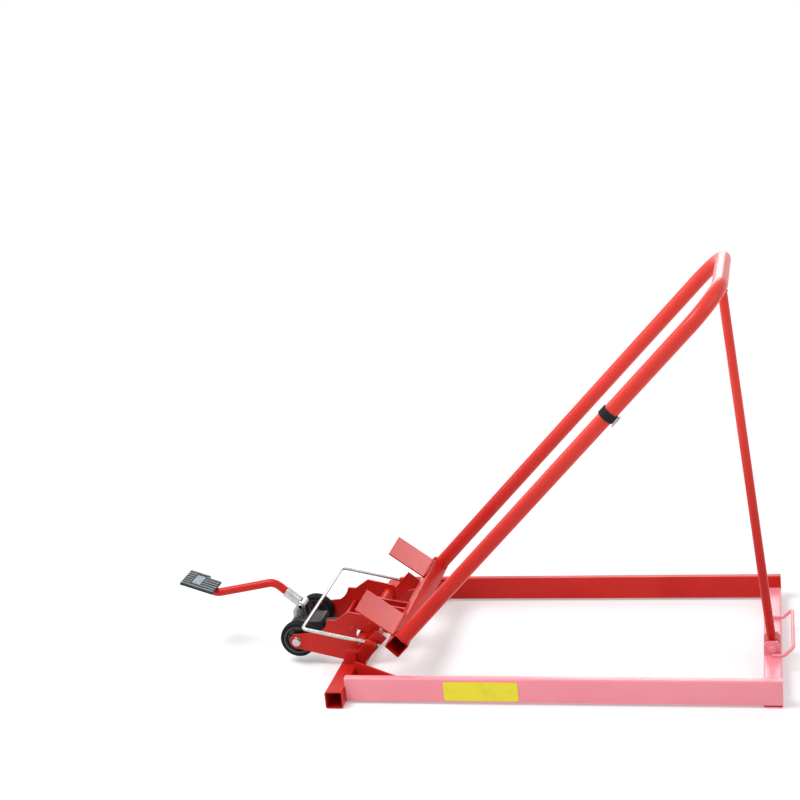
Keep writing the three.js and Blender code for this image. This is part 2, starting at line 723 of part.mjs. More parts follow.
function makePosts() {
  const slope = Math.atan2(bailTipZ - bailCrossZ, bailTipX - bailCrossX);
  const onBail = (x) => bailCrossZ + (x - bailCrossX) * Math.tan(slope);
  const bailY = postFace + bushOuter / 2 + weldGap;
  const top = hingeTubeTop + weldGap;
  const right = hingeTubeSize + weldGap;
  for (const [side, sign] of sides) {
    const bar = outline([
      [postBackX, top], [right, top], [right, postSkirtZ], [right + postSkirtReach, postSkirtZ],
      [right + postSkirtTopReach, postSkirtTopZ], [postNeckX, postNeckZ], [postHeadFrontX, postHeadFrontZ],
      [postHeadBackX, postHeadBackZ], [postElbowX, postElbowZ], [postBackX, postBackZ],
    ]);
    const post = prism(bar, postThickness, 'y');
    place(lift, `${side}_support_post`, post, redPaint, 0, sign * (postFace - postThickness / 2), 0);
    const foot = box(postFootWidth, postFootThickness, postFootHeight);
    place(lift, `${side}_post_foot`, foot, redPaint, hingeTubeSize - postFootWidth / 2,
      sign * (postFace + weldGap + postFootThickness / 2), top + postFootHeight / 2);
    const bush = prism(ring(bushOuter / 2, bailRod / 2 + runningGap), bushLength, 'x', 5);
    bush.rotateY(-slope);
    const bushX = bushStartX + bushLength / 2;
    place(lift, `${side}_guide_bush`, bush, redPaint, bushX, sign * bailY, onBail(bushX));
    const clipBore = clearOf(bailRod / 2, weldGap, clipSegments);
    const clip = prism(ring(clipBore + clipWall, clipBore), clipThickness, 'x', clipSegments);
    clip.rotateY(-slope);
    const clipX = bushStartX + bushLength + clipThickness;
    place(lift, `${side}_bail_clip`, clip, castBlack, clipX, sign * bailY, onBail(clipX));
  }
  const corners = [
    [bailTipX, -bailY, bailTipZ], [bailCrossX, -bailY, bailCrossZ],
    [bailCrossX, bailY, bailCrossZ], [bailTipX, bailY, bailTipZ],
  ];
  place(lift, 'sliding_bail', bentBar(disc(bailRod / 2), corners, bailBendRadius, 4, 3), zinc);
}

function makeHydraulics() {
  const blockLength = blockFrontX - blockBackX;
  const blockX = blockBackX + blockLength / 2;
  const half = blockHalfWidth;
  const low = blockBottom;
  const section = outline([
    [-half + blockChamfer, low], [half - blockChamfer, low], [half, low + blockChamfer],
    [half, blockTop - blockChamfer], [half - blockChamfer, blockTop], [-half + blockChamfer, blockTop],
    [-half, blockTop - blockChamfer], [-half, low + blockChamfer],
  ]);
  const cylinderLength = cylinderEndX - blockX;
  const ramBoreDepth = cylinderLength - blockLength / 2 * ramBoreShare;
  const bossBase = blockTop - blockChamfer / 2;
  const boss = rod(2 * pumpBossRadius, pumpBossTop - bossBase, 'z', 6)
    .translate(pumpX, 0, (pumpBossTop + bossBase) / 2);
  const casting = join(
    prism(section, blockLength, 'x').translate(blockX, 0, 0),
    prism(disc(cylinderRadius), cylinderLength, 'x', 7).translate(cylinderEndX - cylinderLength / 2, 0, ramZ),
    boss,
  );
  const pumpBoreBase = pumpBossTop - pumpBoreDepth;
  const drilled = cut(casting,
    rod(2 * (ramRadius + runningGap), ramBoreDepth + overrun, 'x', 6)
      .translate(cylinderEndX + (overrun - ramBoreDepth) / 2, 0, ramZ),
    rod(pumpPlungerDiameter + 2 * runningGap, pumpBoreDepth + overrun, 'z', 5)
      .translate(pumpX, 0, pumpBossTop + (overrun - pumpBoreDepth) / 2),
  );
  place(lift, 'hydraulic_body', drilled, castBlack);

  const tip = rollerX - rollerDiameter / 2 - 2 * weldGap;
  const tail = cylinderEndX - ramBoreDepth + ramTravel + weldGap;
  place(lift, 'ram', rod(2 * ramRadius, tip - tail, 'x', 6), chrome, (tip + tail) / 2, 0, ramZ);

  const bulkheadWidth = 2 * (sidePlateInner - weldGap);
  const bulkhead = cut(
    box(bulkheadThickness, bulkheadWidth, bulkheadHeight),
    rod(2 * (cylinderRadius + weldGap), bulkheadThickness + overrun, 'x', 7)
      .translate(0, 0, ramZ - bulkheadBottom - bulkheadHeight / 2),
  );
  place(lift, 'jack_bulkhead', bulkhead, redPaint, bulkheadX, 0, bulkheadBottom + bulkheadHeight / 2);

  const plungerBase = pumpBoreBase + pumpStroke + weldGap;
  const pumpEdge = Math.abs(pumpX - pedalPivotX) - pumpPlungerDiameter / 2;
  const plungerTop = pedalPivotZ - Math.sqrt(pedalHubRadius ** 2 - pumpEdge ** 2) - 2 * weldGap;
  const plunger = rod(pumpPlungerDiameter, plungerTop - plungerBase, 'z', 5);
  place(lift, 'pump_plunger', plunger, chrome, pumpX, 0, (plungerTop + plungerBase) / 2);
}

// Pedal hub, socket, arm and pad turn together about the pin in two brackets on the pump block.
function makePedal() {
  const bracketInner = pedalHubLength / 2 + runningGap;
  const footZ = blockTop + weldGap;
  const backZ = blockTop + bracketShoulder;
  const side = outline([
    [pedalPivotX - bracketHeel, footZ], [pedalPivotX + bracketToe, footZ],
    [pedalPivotX + bracketRadius, pedalPivotZ], [pedalPivotX + bracketRadius / 2, pedalPivotZ + bracketRadius],
    [pedalPivotX - bracketRadius / 2, pedalPivotZ + bracketRadius], [pedalPivotX - bracketRadius, pedalPivotZ],
    [pedalPivotX - bracketHeel, backZ],
  ]);
  const pinHole = rod(pedalPinDiameter + 2 * weldGap, bracketThickness + overrun, 'y', 5)
    .translate(pedalPivotX, 0, pedalPivotZ);
  const bracket = cut(prism(side, bracketThickness, 'y'), pinHole);
  for (const [name, sign] of sides) {
    const y = sign * (bracketInner + bracketThickness / 2);
    place(lift, `${name}_pedal_bracket`, bracket, zinc, 0, y, 0);
  }

  const bracketFace = bracketInner + bracketThickness;
  const headHeight = pedalPinDiameter / 3;
  const head = rod(pedalPinDiameter * pinHeadShare, headHeight, 'y', 5);
  const pin = join(
    rod(pedalPinDiameter, 2 * (bracketFace + headHeight), 'y', 5),
    head.translate(0, -bracketFace - weldGap - headHeight / 2, 0),
  );
  place(lift, 'pedal_pin', pin, zinc, pedalPivotX, 0, pedalPivotZ);

  const padTilt = radians(padSlope);
  const upSlope = new THREE.Vector2(-Math.cos(padTilt), Math.sin(padTilt));
  const drop = padThickness / 2 + weldGap + pedalTube / 2;
  const underPad = new THREE.Vector2(padCentreX, padCentreZ)
    .addScaledVector(new THREE.Vector2(Math.sin(padTilt), Math.cos(padTilt)), -drop);
  const armEnd = underPad.clone().addScaledVector(upSlope, padLength / 2 - padSlopeInset);
  const armLow = underPad.clone().addScaledVector(upSlope, -(padLength / 2 + padSlopeInset / 2));
  const toCrest = new THREE.Vector2(pedalCrestX - pedalPivotX, pedalCrestZ - pedalPivotZ).normalize();
  const armStart = new THREE.Vector2(pedalPivotX, pedalPivotZ)
    .addScaledVector(toCrest, socketStart + pedalTube / 2);
  const corners = [
    [armStart.x, 0, armStart.y], [pedalCrestX, 0, pedalCrestZ],
    [armLow.x, 0, armLow.y], [armEnd.x, 0, armEnd.y],
  ];
  const section = ring(pedalTube / 2, pedalTube / 2 - pedalTubeWall);
  place(lift, 'pedal_arm', bentBar(section, corners, pedalBendRadius, 5, 5), redPaint);

  const socketOuter = pedalTube / 2 + weldGap + socketWall;
  const socketAngle = Math.atan2(toCrest.y, toCrest.x);
  const onSocket = (geometry, distance) =>
    geometry.rotateY(-socketAngle).translate(toCrest.x * distance, 0, toCrest.y * distance);
  const tubeSpan = socketLength - socketStart - pedalTube / 2 + overrun;
  const tubeMiddle = socketStart + pedalTube / 2 - weldGap + tubeSpan / 2;
  const socket = cut(
    join(
      prism(disc(pedalHubRadius), pedalHubLength, 'y', 6),
      onSocket(rod(2 * socketOuter, socketLength - socketStart, 'x', 6), (socketLength + socketStart) / 2),
    ),
    onSocket(rod(2 * clearOf(pedalTube / 2, weldGap, 8), tubeSpan, 'x'), tubeMiddle),
    rod(pedalPinDiameter + 2 * runningGap, pedalHubLength + overrun, 'y', 5),
  );
  place(lift, 'pedal_socket', socket, zinc, pedalPivotX, 0, pedalPivotZ);

  const ribPitch = padWidth / padRibs;
  const ribbed = [[-padWidth / 2, -padThickness / 2]];
  for (let k = 0; k < padRibs; k += 1) {
    const start = padWidth / 2 - k * ribPitch;
    ribbed.push(
      [start, padThickness / 2], [start - ribPitch * ribShare, padThickness / 2],
      [start - ribPitch * ribShare, padThickness / 2 - padRibDepth],
      [start - ribPitch, padThickness / 2 - padRibDepth],
    );
  }
  const profile = [[padWidth / 2, -padThickness / 2], ...ribbed.slice(1), ribbed[0]];
  const notchLength = padLength * (1 - farStripShare);
  const notch = box(notchLength + overrun, ribPitch + overrun, 2 * padThickness)
    .translate((padLength - notchLength + overrun) / 2, (padWidth - ribPitch + overrun) / 2, 0);
  const pad = cut(prism(outline(profile), padLength, 'x'), notch).rotateY(padTilt);
  place(lift, 'pedal_pad', pad, rubber, padCentreX, 0, padCentreZ);
}

function makeLabelPlate() {
  const x = labelStart + labelLength / 2;
  const y = -baseWidth / 2 - weldGap - labelThickness / 2;
  const z = railClearance + railHeight / 2 - labelThickness;
  place(lift, 'label_plate', box(labelLength, labelThickness, labelHeight), labelYellow, x, y, z);
}

makeBaseFrame();
makeCarryHandle();
makeStrut();
makeLiftingFrame();
makeLevers();
makeChassis();
makePosts();
makeHydraulics();
makePedal();
makeLabelPlate();

// The origin is the middle of the underside of the whole part.
const bounds = new THREE.Box3().setFromObject(lift);
const middle = bounds.getCenter(new THREE.Vector3());
lift.position.set(-middle.x, -middle.y, -bounds.min.z);

export default lift;
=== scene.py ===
# %% [markdown]
# # A lawn mower lift, dressed in Blender
#
# Each CAD node is an object at the origin with its place in its mesh, in metres, +X towards the carry
# handle and +Z up. This lesson keeps that frame and gives each rough solid a finer piece: round tubes,
# rounded box sections, real bolt heads, weld beads, treads and ribs. Each new piece rides on the body
# that its CAD node belongs to.

# %% Load the frame
import json
from math import atan2, cos, hypot, pi, radians, sin, tan

import bmesh
import bpy
from mathutils import Matrix, Quaternion, Vector
from mathutils.geometry import delaunay_2d_cdt


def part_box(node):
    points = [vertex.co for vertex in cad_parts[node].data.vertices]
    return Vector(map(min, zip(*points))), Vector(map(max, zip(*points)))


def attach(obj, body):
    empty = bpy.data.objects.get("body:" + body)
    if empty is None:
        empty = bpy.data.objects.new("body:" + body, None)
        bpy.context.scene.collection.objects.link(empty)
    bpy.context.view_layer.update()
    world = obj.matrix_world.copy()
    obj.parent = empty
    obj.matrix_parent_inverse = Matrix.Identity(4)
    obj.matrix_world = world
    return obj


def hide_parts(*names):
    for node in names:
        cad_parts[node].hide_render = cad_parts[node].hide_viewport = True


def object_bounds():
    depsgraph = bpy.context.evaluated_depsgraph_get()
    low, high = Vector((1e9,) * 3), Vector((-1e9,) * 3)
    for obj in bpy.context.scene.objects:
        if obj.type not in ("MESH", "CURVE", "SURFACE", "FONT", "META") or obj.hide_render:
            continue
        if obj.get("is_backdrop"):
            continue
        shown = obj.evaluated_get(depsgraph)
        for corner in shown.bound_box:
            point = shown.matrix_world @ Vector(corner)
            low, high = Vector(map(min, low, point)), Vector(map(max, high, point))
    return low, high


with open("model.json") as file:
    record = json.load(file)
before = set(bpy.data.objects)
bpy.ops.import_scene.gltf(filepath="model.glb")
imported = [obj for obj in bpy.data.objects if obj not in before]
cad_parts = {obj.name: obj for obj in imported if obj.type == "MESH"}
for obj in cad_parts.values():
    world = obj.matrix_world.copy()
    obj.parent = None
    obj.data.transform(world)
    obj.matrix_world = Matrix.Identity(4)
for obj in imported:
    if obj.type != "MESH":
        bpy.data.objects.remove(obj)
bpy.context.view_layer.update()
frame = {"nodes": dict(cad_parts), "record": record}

joint = {entry["name"]: entry for entry in frame["record"]["behaviour"]["joints"]}

# %% Names used all through
MM = 0.001
GAP = 0.0003                          # the CAD model keeps welded pieces this far apart
SIDES = {"near": -1, "far": 1}        # the sign of Y on each side
X_WAY, Y_WAY, Z_WAY = Vector((1, 0, 0)), Vector((0, 1, 0)), Vector((0, 0, 1))


def place_of(name):
    """The point that the record gives for a joint."""
    return Vector(joint[name]["pos_m"])


def middle(node):
    """The centre and the size of a CAD node's box."""
    low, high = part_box(node)
    return (low + high) / 2, high - low


def set_down(x_way, y_way, z_way, place):
    """A matrix that lays a shape's own X, Y and Z along three directions, at a place."""
    made = Matrix((x_way, y_way, z_way)).transposed().to_4x4()
    made.translation = place
    return made


print("joints:", sorted(joint))

# %% [markdown]
# ## Camera, light and floor
#
# The lens and the place come from fitting one camera to the rails, tubes and strut of the photograph.
# The world is a soft grey dome that looks white to the camera. One large lamp gives the main light, two
# others fill the shadows and light the bow from behind, and a narrow one draws a highlight on the legs.

# %% The camera
RIGHT = Vector((0.97147643, 0.21646386, -0.09683463))
UP = Vector((0.03315286, 0.2803624, 0.95932154))
FORWARD = Vector((-0.23480723, 0.93516861, -0.26518906))
CAMERA_PLACE = Vector((0.898187, -4.2628, 1.9775))
FOCAL_PIXELS, FRAME_PIXELS, SENSOR = 1595.96, 800, 36

camera_data = bpy.data.cameras.new("camera")
camera_data.sensor_width = SENSOR
camera_data.lens = FOCAL_PIXELS / FRAME_PIXELS * SENSOR
camera = bpy.data.objects.new("camera", camera_data)
camera.matrix_world = set_down(RIGHT, UP, -FORWARD, CAMERA_PLACE)
bpy.context.scene.collection.objects.link(camera)
bpy.context.scene.camera = camera
print("lens %.1f mm" % camera_data.lens)

# %% The lamps
def area_light(name, place, target, size, power, width=None):
    """A lamp at place that looks at target: a square, or a strip if it has a width."""
    data = bpy.data.lights.new(name, "AREA")
    data.shape, data.size, data.size_y, data.energy = "RECTANGLE", width or size, size, power
    lamp = bpy.data.objects.new(name, data)
    lamp.location = place
    lamp.visible_camera = False
    lamp.rotation_euler = (Vector(target) - Vector(place)).to_track_quat("-Z", "Y").to_euler()
    bpy.context.scene.collection.objects.link(lamp)


area_light("key_lamp", (-2.2, -1.3, 4.7), (0.0, 0.0, 0.4), 2.2, 182)
area_light("fill_lamp", (3.6, -1.2, 2.6), (0.2, 0.0, 0.4), 2.6, 40)
area_light("back_lamp", (0.2, 4.2, 2.6), (0.3, 0.0, 0.7), 2.0, 50)
area_light("leg_strip", (-2.3, 0.2, 2.3), (0.36, -0.28, 0.86), 1.8, 24, width=0.9)
bpy.context.scene.view_settings.view_transform = "Standard"

# %% [markdown]
# Shader trees and geometry trees are built in the same way, so one call makes any node: its settings by
# name, and its inputs as plain values or as the outputs that feed them. The dome is only seen by the
# light that falls on the lift. The camera, glossy rays and transmission rays see plain white instead.

# %% One call for a node, and the world
def new_node(tree, kind, inputs=None, **settings):
    """A node with its settings; an input is a plain value, or the output that it is linked to."""
    made = tree.nodes.new(kind)
    for key, value in settings.items():
        setattr(made, key, value)
    for key, source in (inputs or {}).items():
        if isinstance(source, bpy.types.NodeSocket):
            tree.links.new(source, made.inputs[key])
        else:
            made.inputs[key].default_value = source
    return made


def seen_as_white(tree, plain, white, share=None):
    """Mixes to the white shader, wholly or by a share, for camera, glossy and transmission rays."""
    rays = new_node(tree, "ShaderNodeLightPath").outputs
    total = rays["Is Camera Ray"]
    for ray in ("Is Glossy Ray", "Is Transmission Ray"):
        total = new_node(tree, "ShaderNodeMath", {0: total, 1: rays[ray]}, operation="MAXIMUM").outputs[0]
    if share is not None:
        total = new_node(tree, "ShaderNodeMath", {0: total, 1: share}, operation="MULTIPLY").outputs[0]
    return new_node(tree, "ShaderNodeMixShader", {"Fac": total, 1: plain, 2: white}).outputs[0]


world = bpy.data.worlds.new("studio")
world.use_nodes = True
bpy.context.scene.world = world
sky = world.node_tree
sky.nodes.clear()
dome = new_node(sky, "ShaderNodeBackground", {"Color": (0.93, 0.96, 1.0, 1.0), "Strength": 0.46})
white = new_node(sky, "ShaderNodeBackground", {"Color": (1.0, 1.0, 1.0, 1.0)})
seen = seen_as_white(sky, dome.outputs[0], white.outputs[0])
new_node(sky, "ShaderNodeOutputWorld", {"Surface": seen})
print("world:", len(sky.nodes), "nodes")

# %% [markdown]
# ## Materials
#
# Every finish starts from one Principled shader. Noise on Object coordinates gives each its own
# unevenness: orange peel in the powder coat, spangle on zinc, sand grain on the casting, weave on the
# strap. Object coordinates stay with a piece when it moves, because each piece sits at the origin.

# %% A helper for finishes
COAT_IOR = 1.3    # low, so that a clear coat adds little to a colour that is seen straight on


def srgb(code):
    """A linear colour from six hexadecimal digits."""
    parts = [int(code[i:i + 2], 16) / 255 for i in (0, 2, 4)]
    return [p / 12.92 if p <= 0.04045 else ((p + 0.055) / 1.055) ** 2.4 for p in parts] + [1.0]


class Finish:
    """A material with a Principled shader and short calls for the nodes that shape it."""

    def __init__(self, name, metallic=0.0, specular=0.5, coat=0.0, coat_roughness=0.1):
        self.material = bpy.data.materials.new(name)
        self.material.use_nodes = True
        self.tree = self.material.node_tree
        self.shader = self.tree.nodes["Principled BSDF"]
        self.place = self.node("ShaderNodeTexCoord").outputs["Object"]
        for socket, value in (("Metallic", metallic), ("Specular IOR Level", specular),
                              ("Coat Weight", coat), ("Coat Roughness", coat_roughness),
                              ("Coat IOR", COAT_IOR)):
            self.feed(socket, value)

    def node(self, kind, inputs=None, **settings):
        return new_node(self.tree, kind, inputs, **settings)

    def feed(self, socket, source):
        """Gives one of the shader's sockets a number, a colour code, or a link from an output."""
        if isinstance(source, bpy.types.NodeSocket):
            self.tree.links.new(source, self.shader.inputs[socket])
        else:
            self.shader.inputs[socket].default_value = srgb(source) if isinstance(source, str) else source

    def stretched(self, scale):
        """Object coordinates scaled along each axis."""
        return self.node("ShaderNodeMapping", {"Vector": self.place, "Scale": scale}).outputs["Vector"]

    def noise(self, scale, detail=3.0, rough=0.55, vector=None):
        return self.node("ShaderNodeTexNoise", {"Scale": scale, "Detail": detail, "Roughness": rough,
                                                "Vector": vector or self.place}).outputs["Fac"]

    def between(self, value, low, high, to_low=0.0, to_high=1.0):
        """A value mapped from low...high to a new range."""
        return self.node("ShaderNodeMapRange", {"Value": value, "From Min": low, "From Max": high,
                                                "To Min": to_low, "To Max": to_high}).outputs["Result"]

    def mixed(self, factor, first, second):
        """Two colours, each a code or an output, mixed by a factor."""
        first, second = (srgb(one) if isinstance(one, str) else one for one in (first, second))
        inputs = {"Factor": factor, "A": first, "B": second}
        return self.node("ShaderNodeMix", inputs, data_type="RGBA").outputs["Result"]

    def colour(self, source):
        self.feed("Base Color", source)

    def roughness(self, source):
        self.feed("Roughness", source)

    def bump(self, height, strength, distance):
        made = self.node("ShaderNodeBump", {"Height": height, "Strength": strength, "Distance": distance})
        self.feed("Normal", made.outputs["Normal"])


print("finish helper ready")

# %% [markdown]
# ### Paints and metals
#
# Powder coat is a rather glossy plastic skin over steel, so it is a non-metal with a clear coat. The
# near rail and the end tube look much paler, so they get a pale copy of the same red with strong light
# painted in.
# The red of the frame and the strut turns a little paler and warmer with height. This is a painted highlight
# for the stronger light on the upper parts.
# A mask of stretched noise leaves faint scuffs that are rougher and lighter than the paint.

# %% Powder coat
# painted highlight: between these heights the red turns paler and warmer, up to the last share
HIGHLIGHT_START, HIGHLIGHT_END, HIGHLIGHT_MOST = 0.32, 0.75, 0.9    # heights in metres, and the most that it mixes in


def powder_coat(name, base, lit, scuff, specular, painted_highlight_colour=None):
    """Glossy paint with slow drift, orange peel and faint scuffs; its last colour is mixed in with height as
    a painted highlight.
    """
    paint = Finish(name, specular=specular, coat=0.62, coat_roughness=0.28)
    drift = paint.between(paint.noise(5.0, 2.0), 0.35, 0.7)
    scratches = paint.noise(38.0, 5.0, 0.7, paint.stretched((0.35, 1.0, 2.6)))
    worn = paint.between(scratches, 0.66, 0.78, 0.0, 0.35)
    coat = paint.mixed(drift, base, lit)
    # painted highlight: higher up, the colour is mixed towards a paler, warmer red for the stronger light
    # there
    if painted_highlight_colour:
        height = paint.node("ShaderNodeSeparateXYZ", {"Vector": paint.place}).outputs["Z"]
        coat = paint.mixed(paint.between(height, HIGHLIGHT_START, HIGHLIGHT_END, 0.0, HIGHLIGHT_MOST), coat, painted_highlight_colour)
    paint.colour(paint.mixed(worn, coat, scuff))
    paint.roughness(paint.between(scratches, 0.4, 0.8, 0.3, 0.48))
    paint.bump(paint.noise(420.0, 1.0), 0.012, 0.0002)
    return paint.material


# the last colour is a painted highlight that the red takes on with height
RED = powder_coat("red_powder_coat", "bd1c16", "ca281f", "d9635a", 0.06, "df4136")
# painted light: the same red paint, made pale for the near rail, the end tube and the small pieces beside
# them that stand in strong light
PALE_LIT_RED = powder_coat("pale_lit_powder_coat", "f18d98", "f495a0", "fabec5", 0.3)
print("paints:", RED.name, PALE_LIT_RED.name)

# %% Zinc plate, chrome and the black casting
zinc = Finish("zinc_plate", metallic=1.0)
spangle = zinc.noise(70.0, 2.0)
zinc.colour(zinc.mixed(zinc.between(spangle, 0.4, 0.65), "b2b5b2", "c3c5c1"))
zinc.roughness(zinc.between(spangle, 0.3, 0.7, 0.24, 0.3))
zinc.bump(spangle, 0.01, 0.0001)
ZINC = zinc.material

chrome = Finish("hard_chrome", metallic=1.0)
lathe_marks = chrome.noise(300.0, 2.0, 0.5, chrome.stretched((6.0, 0.4, 0.4)))
chrome.colour("dfe2e6")
chrome.roughness(chrome.between(lathe_marks, 0.3, 0.7, 0.08, 0.18))
CHROME = chrome.material

casting = Finish("black_casting")
grain = casting.noise(520.0, 4.0, 0.65)
casting.colour(casting.mixed(casting.between(casting.noise(14.0), 0.4, 0.7), "1b1d1f", "303336"))
casting.roughness(casting.between(grain, 0.3, 0.7, 0.35, 0.6))
casting.bump(grain, 0.35, 0.0008)
CASTING = casting.material
print("metals:", ZINC.name, CHROME.name, CASTING.name)

# %% [markdown]
# Rubber, moulded plastic and the yellow plate's flat paint differ only in their numbers: blotches of two
# colours, an uneven gloss and a fine grain.

# %% Rubber, wheel plastic and the yellow plate
def moulded(name, specular, colours, blotch, gloss, grain):
    """A matt finish. blotch is a noise's scale, its detail and the values between which it turns from
    the first colour to the second; gloss is a noise's scale and the least and most roughness, or one
    roughness; grain is a noise's scale, its detail, and the bump's strength and depth in metres."""
    made = Finish(name, specular=specular)
    scale, detail, low, high = blotch
    made.colour(made.mixed(made.between(made.noise(scale, detail), low, high), *colours))
    if isinstance(gloss, float):
        made.roughness(gloss)
    else:
        scale, least, most = gloss
        made.roughness(made.between(made.noise(scale), 0.3, 0.7, least, most))
    scale, detail, strength, depth = grain
    made.bump(made.noise(scale, detail), strength, depth)
    return made.material


TYRE = moulded("tyre_rubber", 0.15, ("0b0c0e", "17191c"), (26.0, 4.0, 0.45, 0.75),
               (90.0, 0.5, 0.75), (700.0, 2.0, 0.2, 0.0005))
HUB_PLASTIC = moulded("hub_plastic", 0.5, ("202327", "343a40"), (30.0, 3.0, 0.4, 0.7),
                      (60.0, 0.32, 0.5), (900.0, 1.0, 0.12, 0.0003))
PAD_RUBBER = moulded("pad_rubber", 0.4, ("181b1e", "272c30"), (35.0, 4.0, 0.4, 0.7),
                     (120.0, 0.45, 0.7), (800.0, 2.0, 0.2, 0.0004))
PAD_RIB = moulded("pad_rib", 0.4, ("656c6e", "7d8586"), (60.0, 3.0, 0.4, 0.7),
                  (120.0, 0.4, 0.6), (800.0, 2.0, 0.1, 0.0003))
PAD_PATCH = moulded("pad_patch", 0.4, ("86919a", "9aa5ad"), (60.0, 3.0, 0.4, 0.7),
                    0.5, (900.0, 1.0, 0.1, 0.0003))
YELLOW = moulded("yellow_plate", 0.4, ("ebdb28", "d8c42a"), (22.0, 4.0, 0.5, 0.8),
                 (80.0, 0.35, 0.55), (300.0, 3.0, 0.05, 0.0003))
print("moulded finishes:", [m.name for m in (TYRE, HUB_PLASTIC, PAD_RUBBER, PAD_RIB, PAD_PATCH, YELLOW)])

# %% [markdown]
# Webbing is woven from flat yarns that cross at a millimetre or so. The strap is wrapped round a leg,
# so its weave runs on the piece's own UV map: U along the band, V across it.

# %% Webbing
webbing = Finish("black_webbing", specular=0.3)
uv = webbing.node("ShaderNodeTexCoord").outputs["UV"]
yarns = [webbing.node("ShaderNodeTexWave", {"Vector": uv, "Scale": scale}, wave_type="BANDS",
                      bands_direction=way, wave_profile="SIN").outputs["Fac"]
         for way, scale in (("X", 240.0), ("Y", 130.0))]
crossing = webbing.node("ShaderNodeMath", {0: yarns[0], 1: yarns[1]}, operation="MULTIPLY").outputs[0]
webbing.colour(webbing.mixed(crossing, "101113", "2b2d30"))
webbing.roughness(0.85)
webbing.bump(crossing, 0.6, 0.0006)
WEBBING = webbing.material
print("weave ready")

# %% [markdown]
# ### The floor
#
# The floor is a plain pale plane. Near the lift only a part of it is mixed to white, so that the shadow
# stays, and further out it is all white, so that its edge can't be seen.

# %% A mesh helper and the floor
def mesh_object(name, verts, faces, material, smooth_angle=32.0, recalc=True):
    """A linked mesh object at the origin with outward faces and edges sharp past an angle."""
    mesh = bpy.data.meshes.new(name)
    mesh.from_pydata([tuple(v) for v in verts], [], faces)
    if recalc:
        bm = bmesh.new()
        bm.from_mesh(mesh)
        bmesh.ops.remove_doubles(bm, verts=bm.verts, dist=1e-7)
        bmesh.ops.recalc_face_normals(bm, faces=bm.faces)
        bm.to_mesh(mesh)
        bm.free()
    mesh.materials.append(material)
    mesh.shade_smooth()
    mesh.set_sharp_from_angle(angle=radians(smooth_angle))
    made = bpy.data.objects.new(name, mesh)
    bpy.context.scene.collection.objects.link(made)
    return made


pale = Finish("pale_floor", specular=0.0)
pale.colour("f7f7f7")
pale.roughness(1.0)
distance = pale.node("ShaderNodeVectorMath", {0: pale.place}, operation="LENGTH").outputs["Value"]
shadow_end, white_start, least_white = 0.9, 2.6, 0.3    # two distances from the middle, and a share
white_share = pale.between(distance, shadow_end, white_start, least_white, 1.0)
glow = pale.node("ShaderNodeEmission").outputs[0]
surface = seen_as_white(pale.tree, pale.shader.outputs["BSDF"], glow, white_share)
pale.tree.links.new(surface, pale.tree.nodes["Material Output"].inputs["Surface"])
half = 9.0    # of the floor's width
floor = mesh_object("floor", [(-half, -half, 0), (half, -half, 0), (half, half, 0), (-half, half, 0)],
                    [(0, 1, 2, 3)], pale.material, recalc=False)
floor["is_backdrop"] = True
print("floor", 2 * half, "m wide")

# %% [markdown]
# ## Swept bars and tubes
#
# Most of the lift is tube or rod on a path of straight runs and bends. A sweep carries a ring of points
# along such a path. The ring is turned from one tangent to the next by the smallest turn, so it never
# twists. A second, inner ring makes an open tube with a real wall.

# %% Paths
def bent_path(corners, radius, steps=10):
    """Points and directions along straight runs joined by arcs of one radius."""
    corners = [Vector(c) for c in corners]
    stations = [(corners[0], (corners[1] - corners[0]).normalized())]
    for before, corner, after in zip(corners, corners[1:], corners[2:]):
        arriving, leaving = (corner - before).normalized(), (after - corner).normalized()
        bend = arriving.angle(leaving)
        start = corner - arriving * radius * tan(bend / 2)
        axis = arriving.cross(leaving).normalized()
        centre = start + axis.cross(arriving) * radius
        for k in range(steps + 1):
            turned = Quaternion(axis, bend * k / steps)
            stations.append((centre + turned @ (start - centre), turned @ arriving))
    stations.append((corners[-1], (corners[-1] - corners[-2]).normalized()))
    return stations


def straight(place, way, start, end):
    """The two stations of a straight bar along a direction, from start to end past a place."""
    return [(place + way * start, way), (place + way * end, way)]


print("path helpers ready")

# %% Sweeps
def ring_faces(sides, count, closed):
    """Faces between rings of points; closed joins the last ring to the first, else both are capped."""
    faces = []
    for i in range(count if closed else count - 1):
        low, high = i * sides, ((i + 1) % count) * sides
        faces += [(low + k, low + (k + 1) % sides, high + (k + 1) % sides, high + k) for k in range(sides)]
    if not closed:
        faces += [tuple(reversed(range(sides))), tuple(range((count - 1) * sides, count * sides))]
    return faces


def sweep(name, stations, radius, material, wall=None, sides=32, cap_round=0.0):
    """A round bar, or a tube if it has a wall, along the stations."""
    tangent = stations[0][1]
    side = tangent.orthogonal().normalized()
    rings = []
    for point, direction in stations:
        side = tangent.rotation_difference(direction) @ side
        tangent = direction
        rings.append((point, side.copy(), direction.cross(side).normalized()))
    circle = [(cos(2 * pi * k / sides), sin(2 * pi * k / sides)) for k in range(sides)]

    def loop(ring, r, shift=Vector()):
        point, a, b = ring
        return [point + shift + a * (r * c) + b * (r * s) for c, s in circle]

    loops = [loop(ring, radius) for ring in rings]
    if cap_round:
        loops[0] = loop(rings[0], radius, stations[0][1] * cap_round)
        loops[-1] = loop(rings[-1], radius, stations[-1][1] * -cap_round)
        loops.insert(0, loop(rings[0], radius - cap_round))
        loops.append(loop(rings[-1], radius - cap_round))
    if wall:
        loops += [loop(ring, radius - wall) for ring in reversed(rings)]
    faces = ring_faces(sides, len(loops), bool(wall))
    return mesh_object(name, [v for one in loops for v in one], faces, material)


def wear(piece, body, slot, *stands_for):
    """The piece rides on a body and replaces CAD nodes; slot is not used."""
    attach(piece, body)
    if stands_for:
        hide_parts(*stands_for)


print("sweep helpers ready")

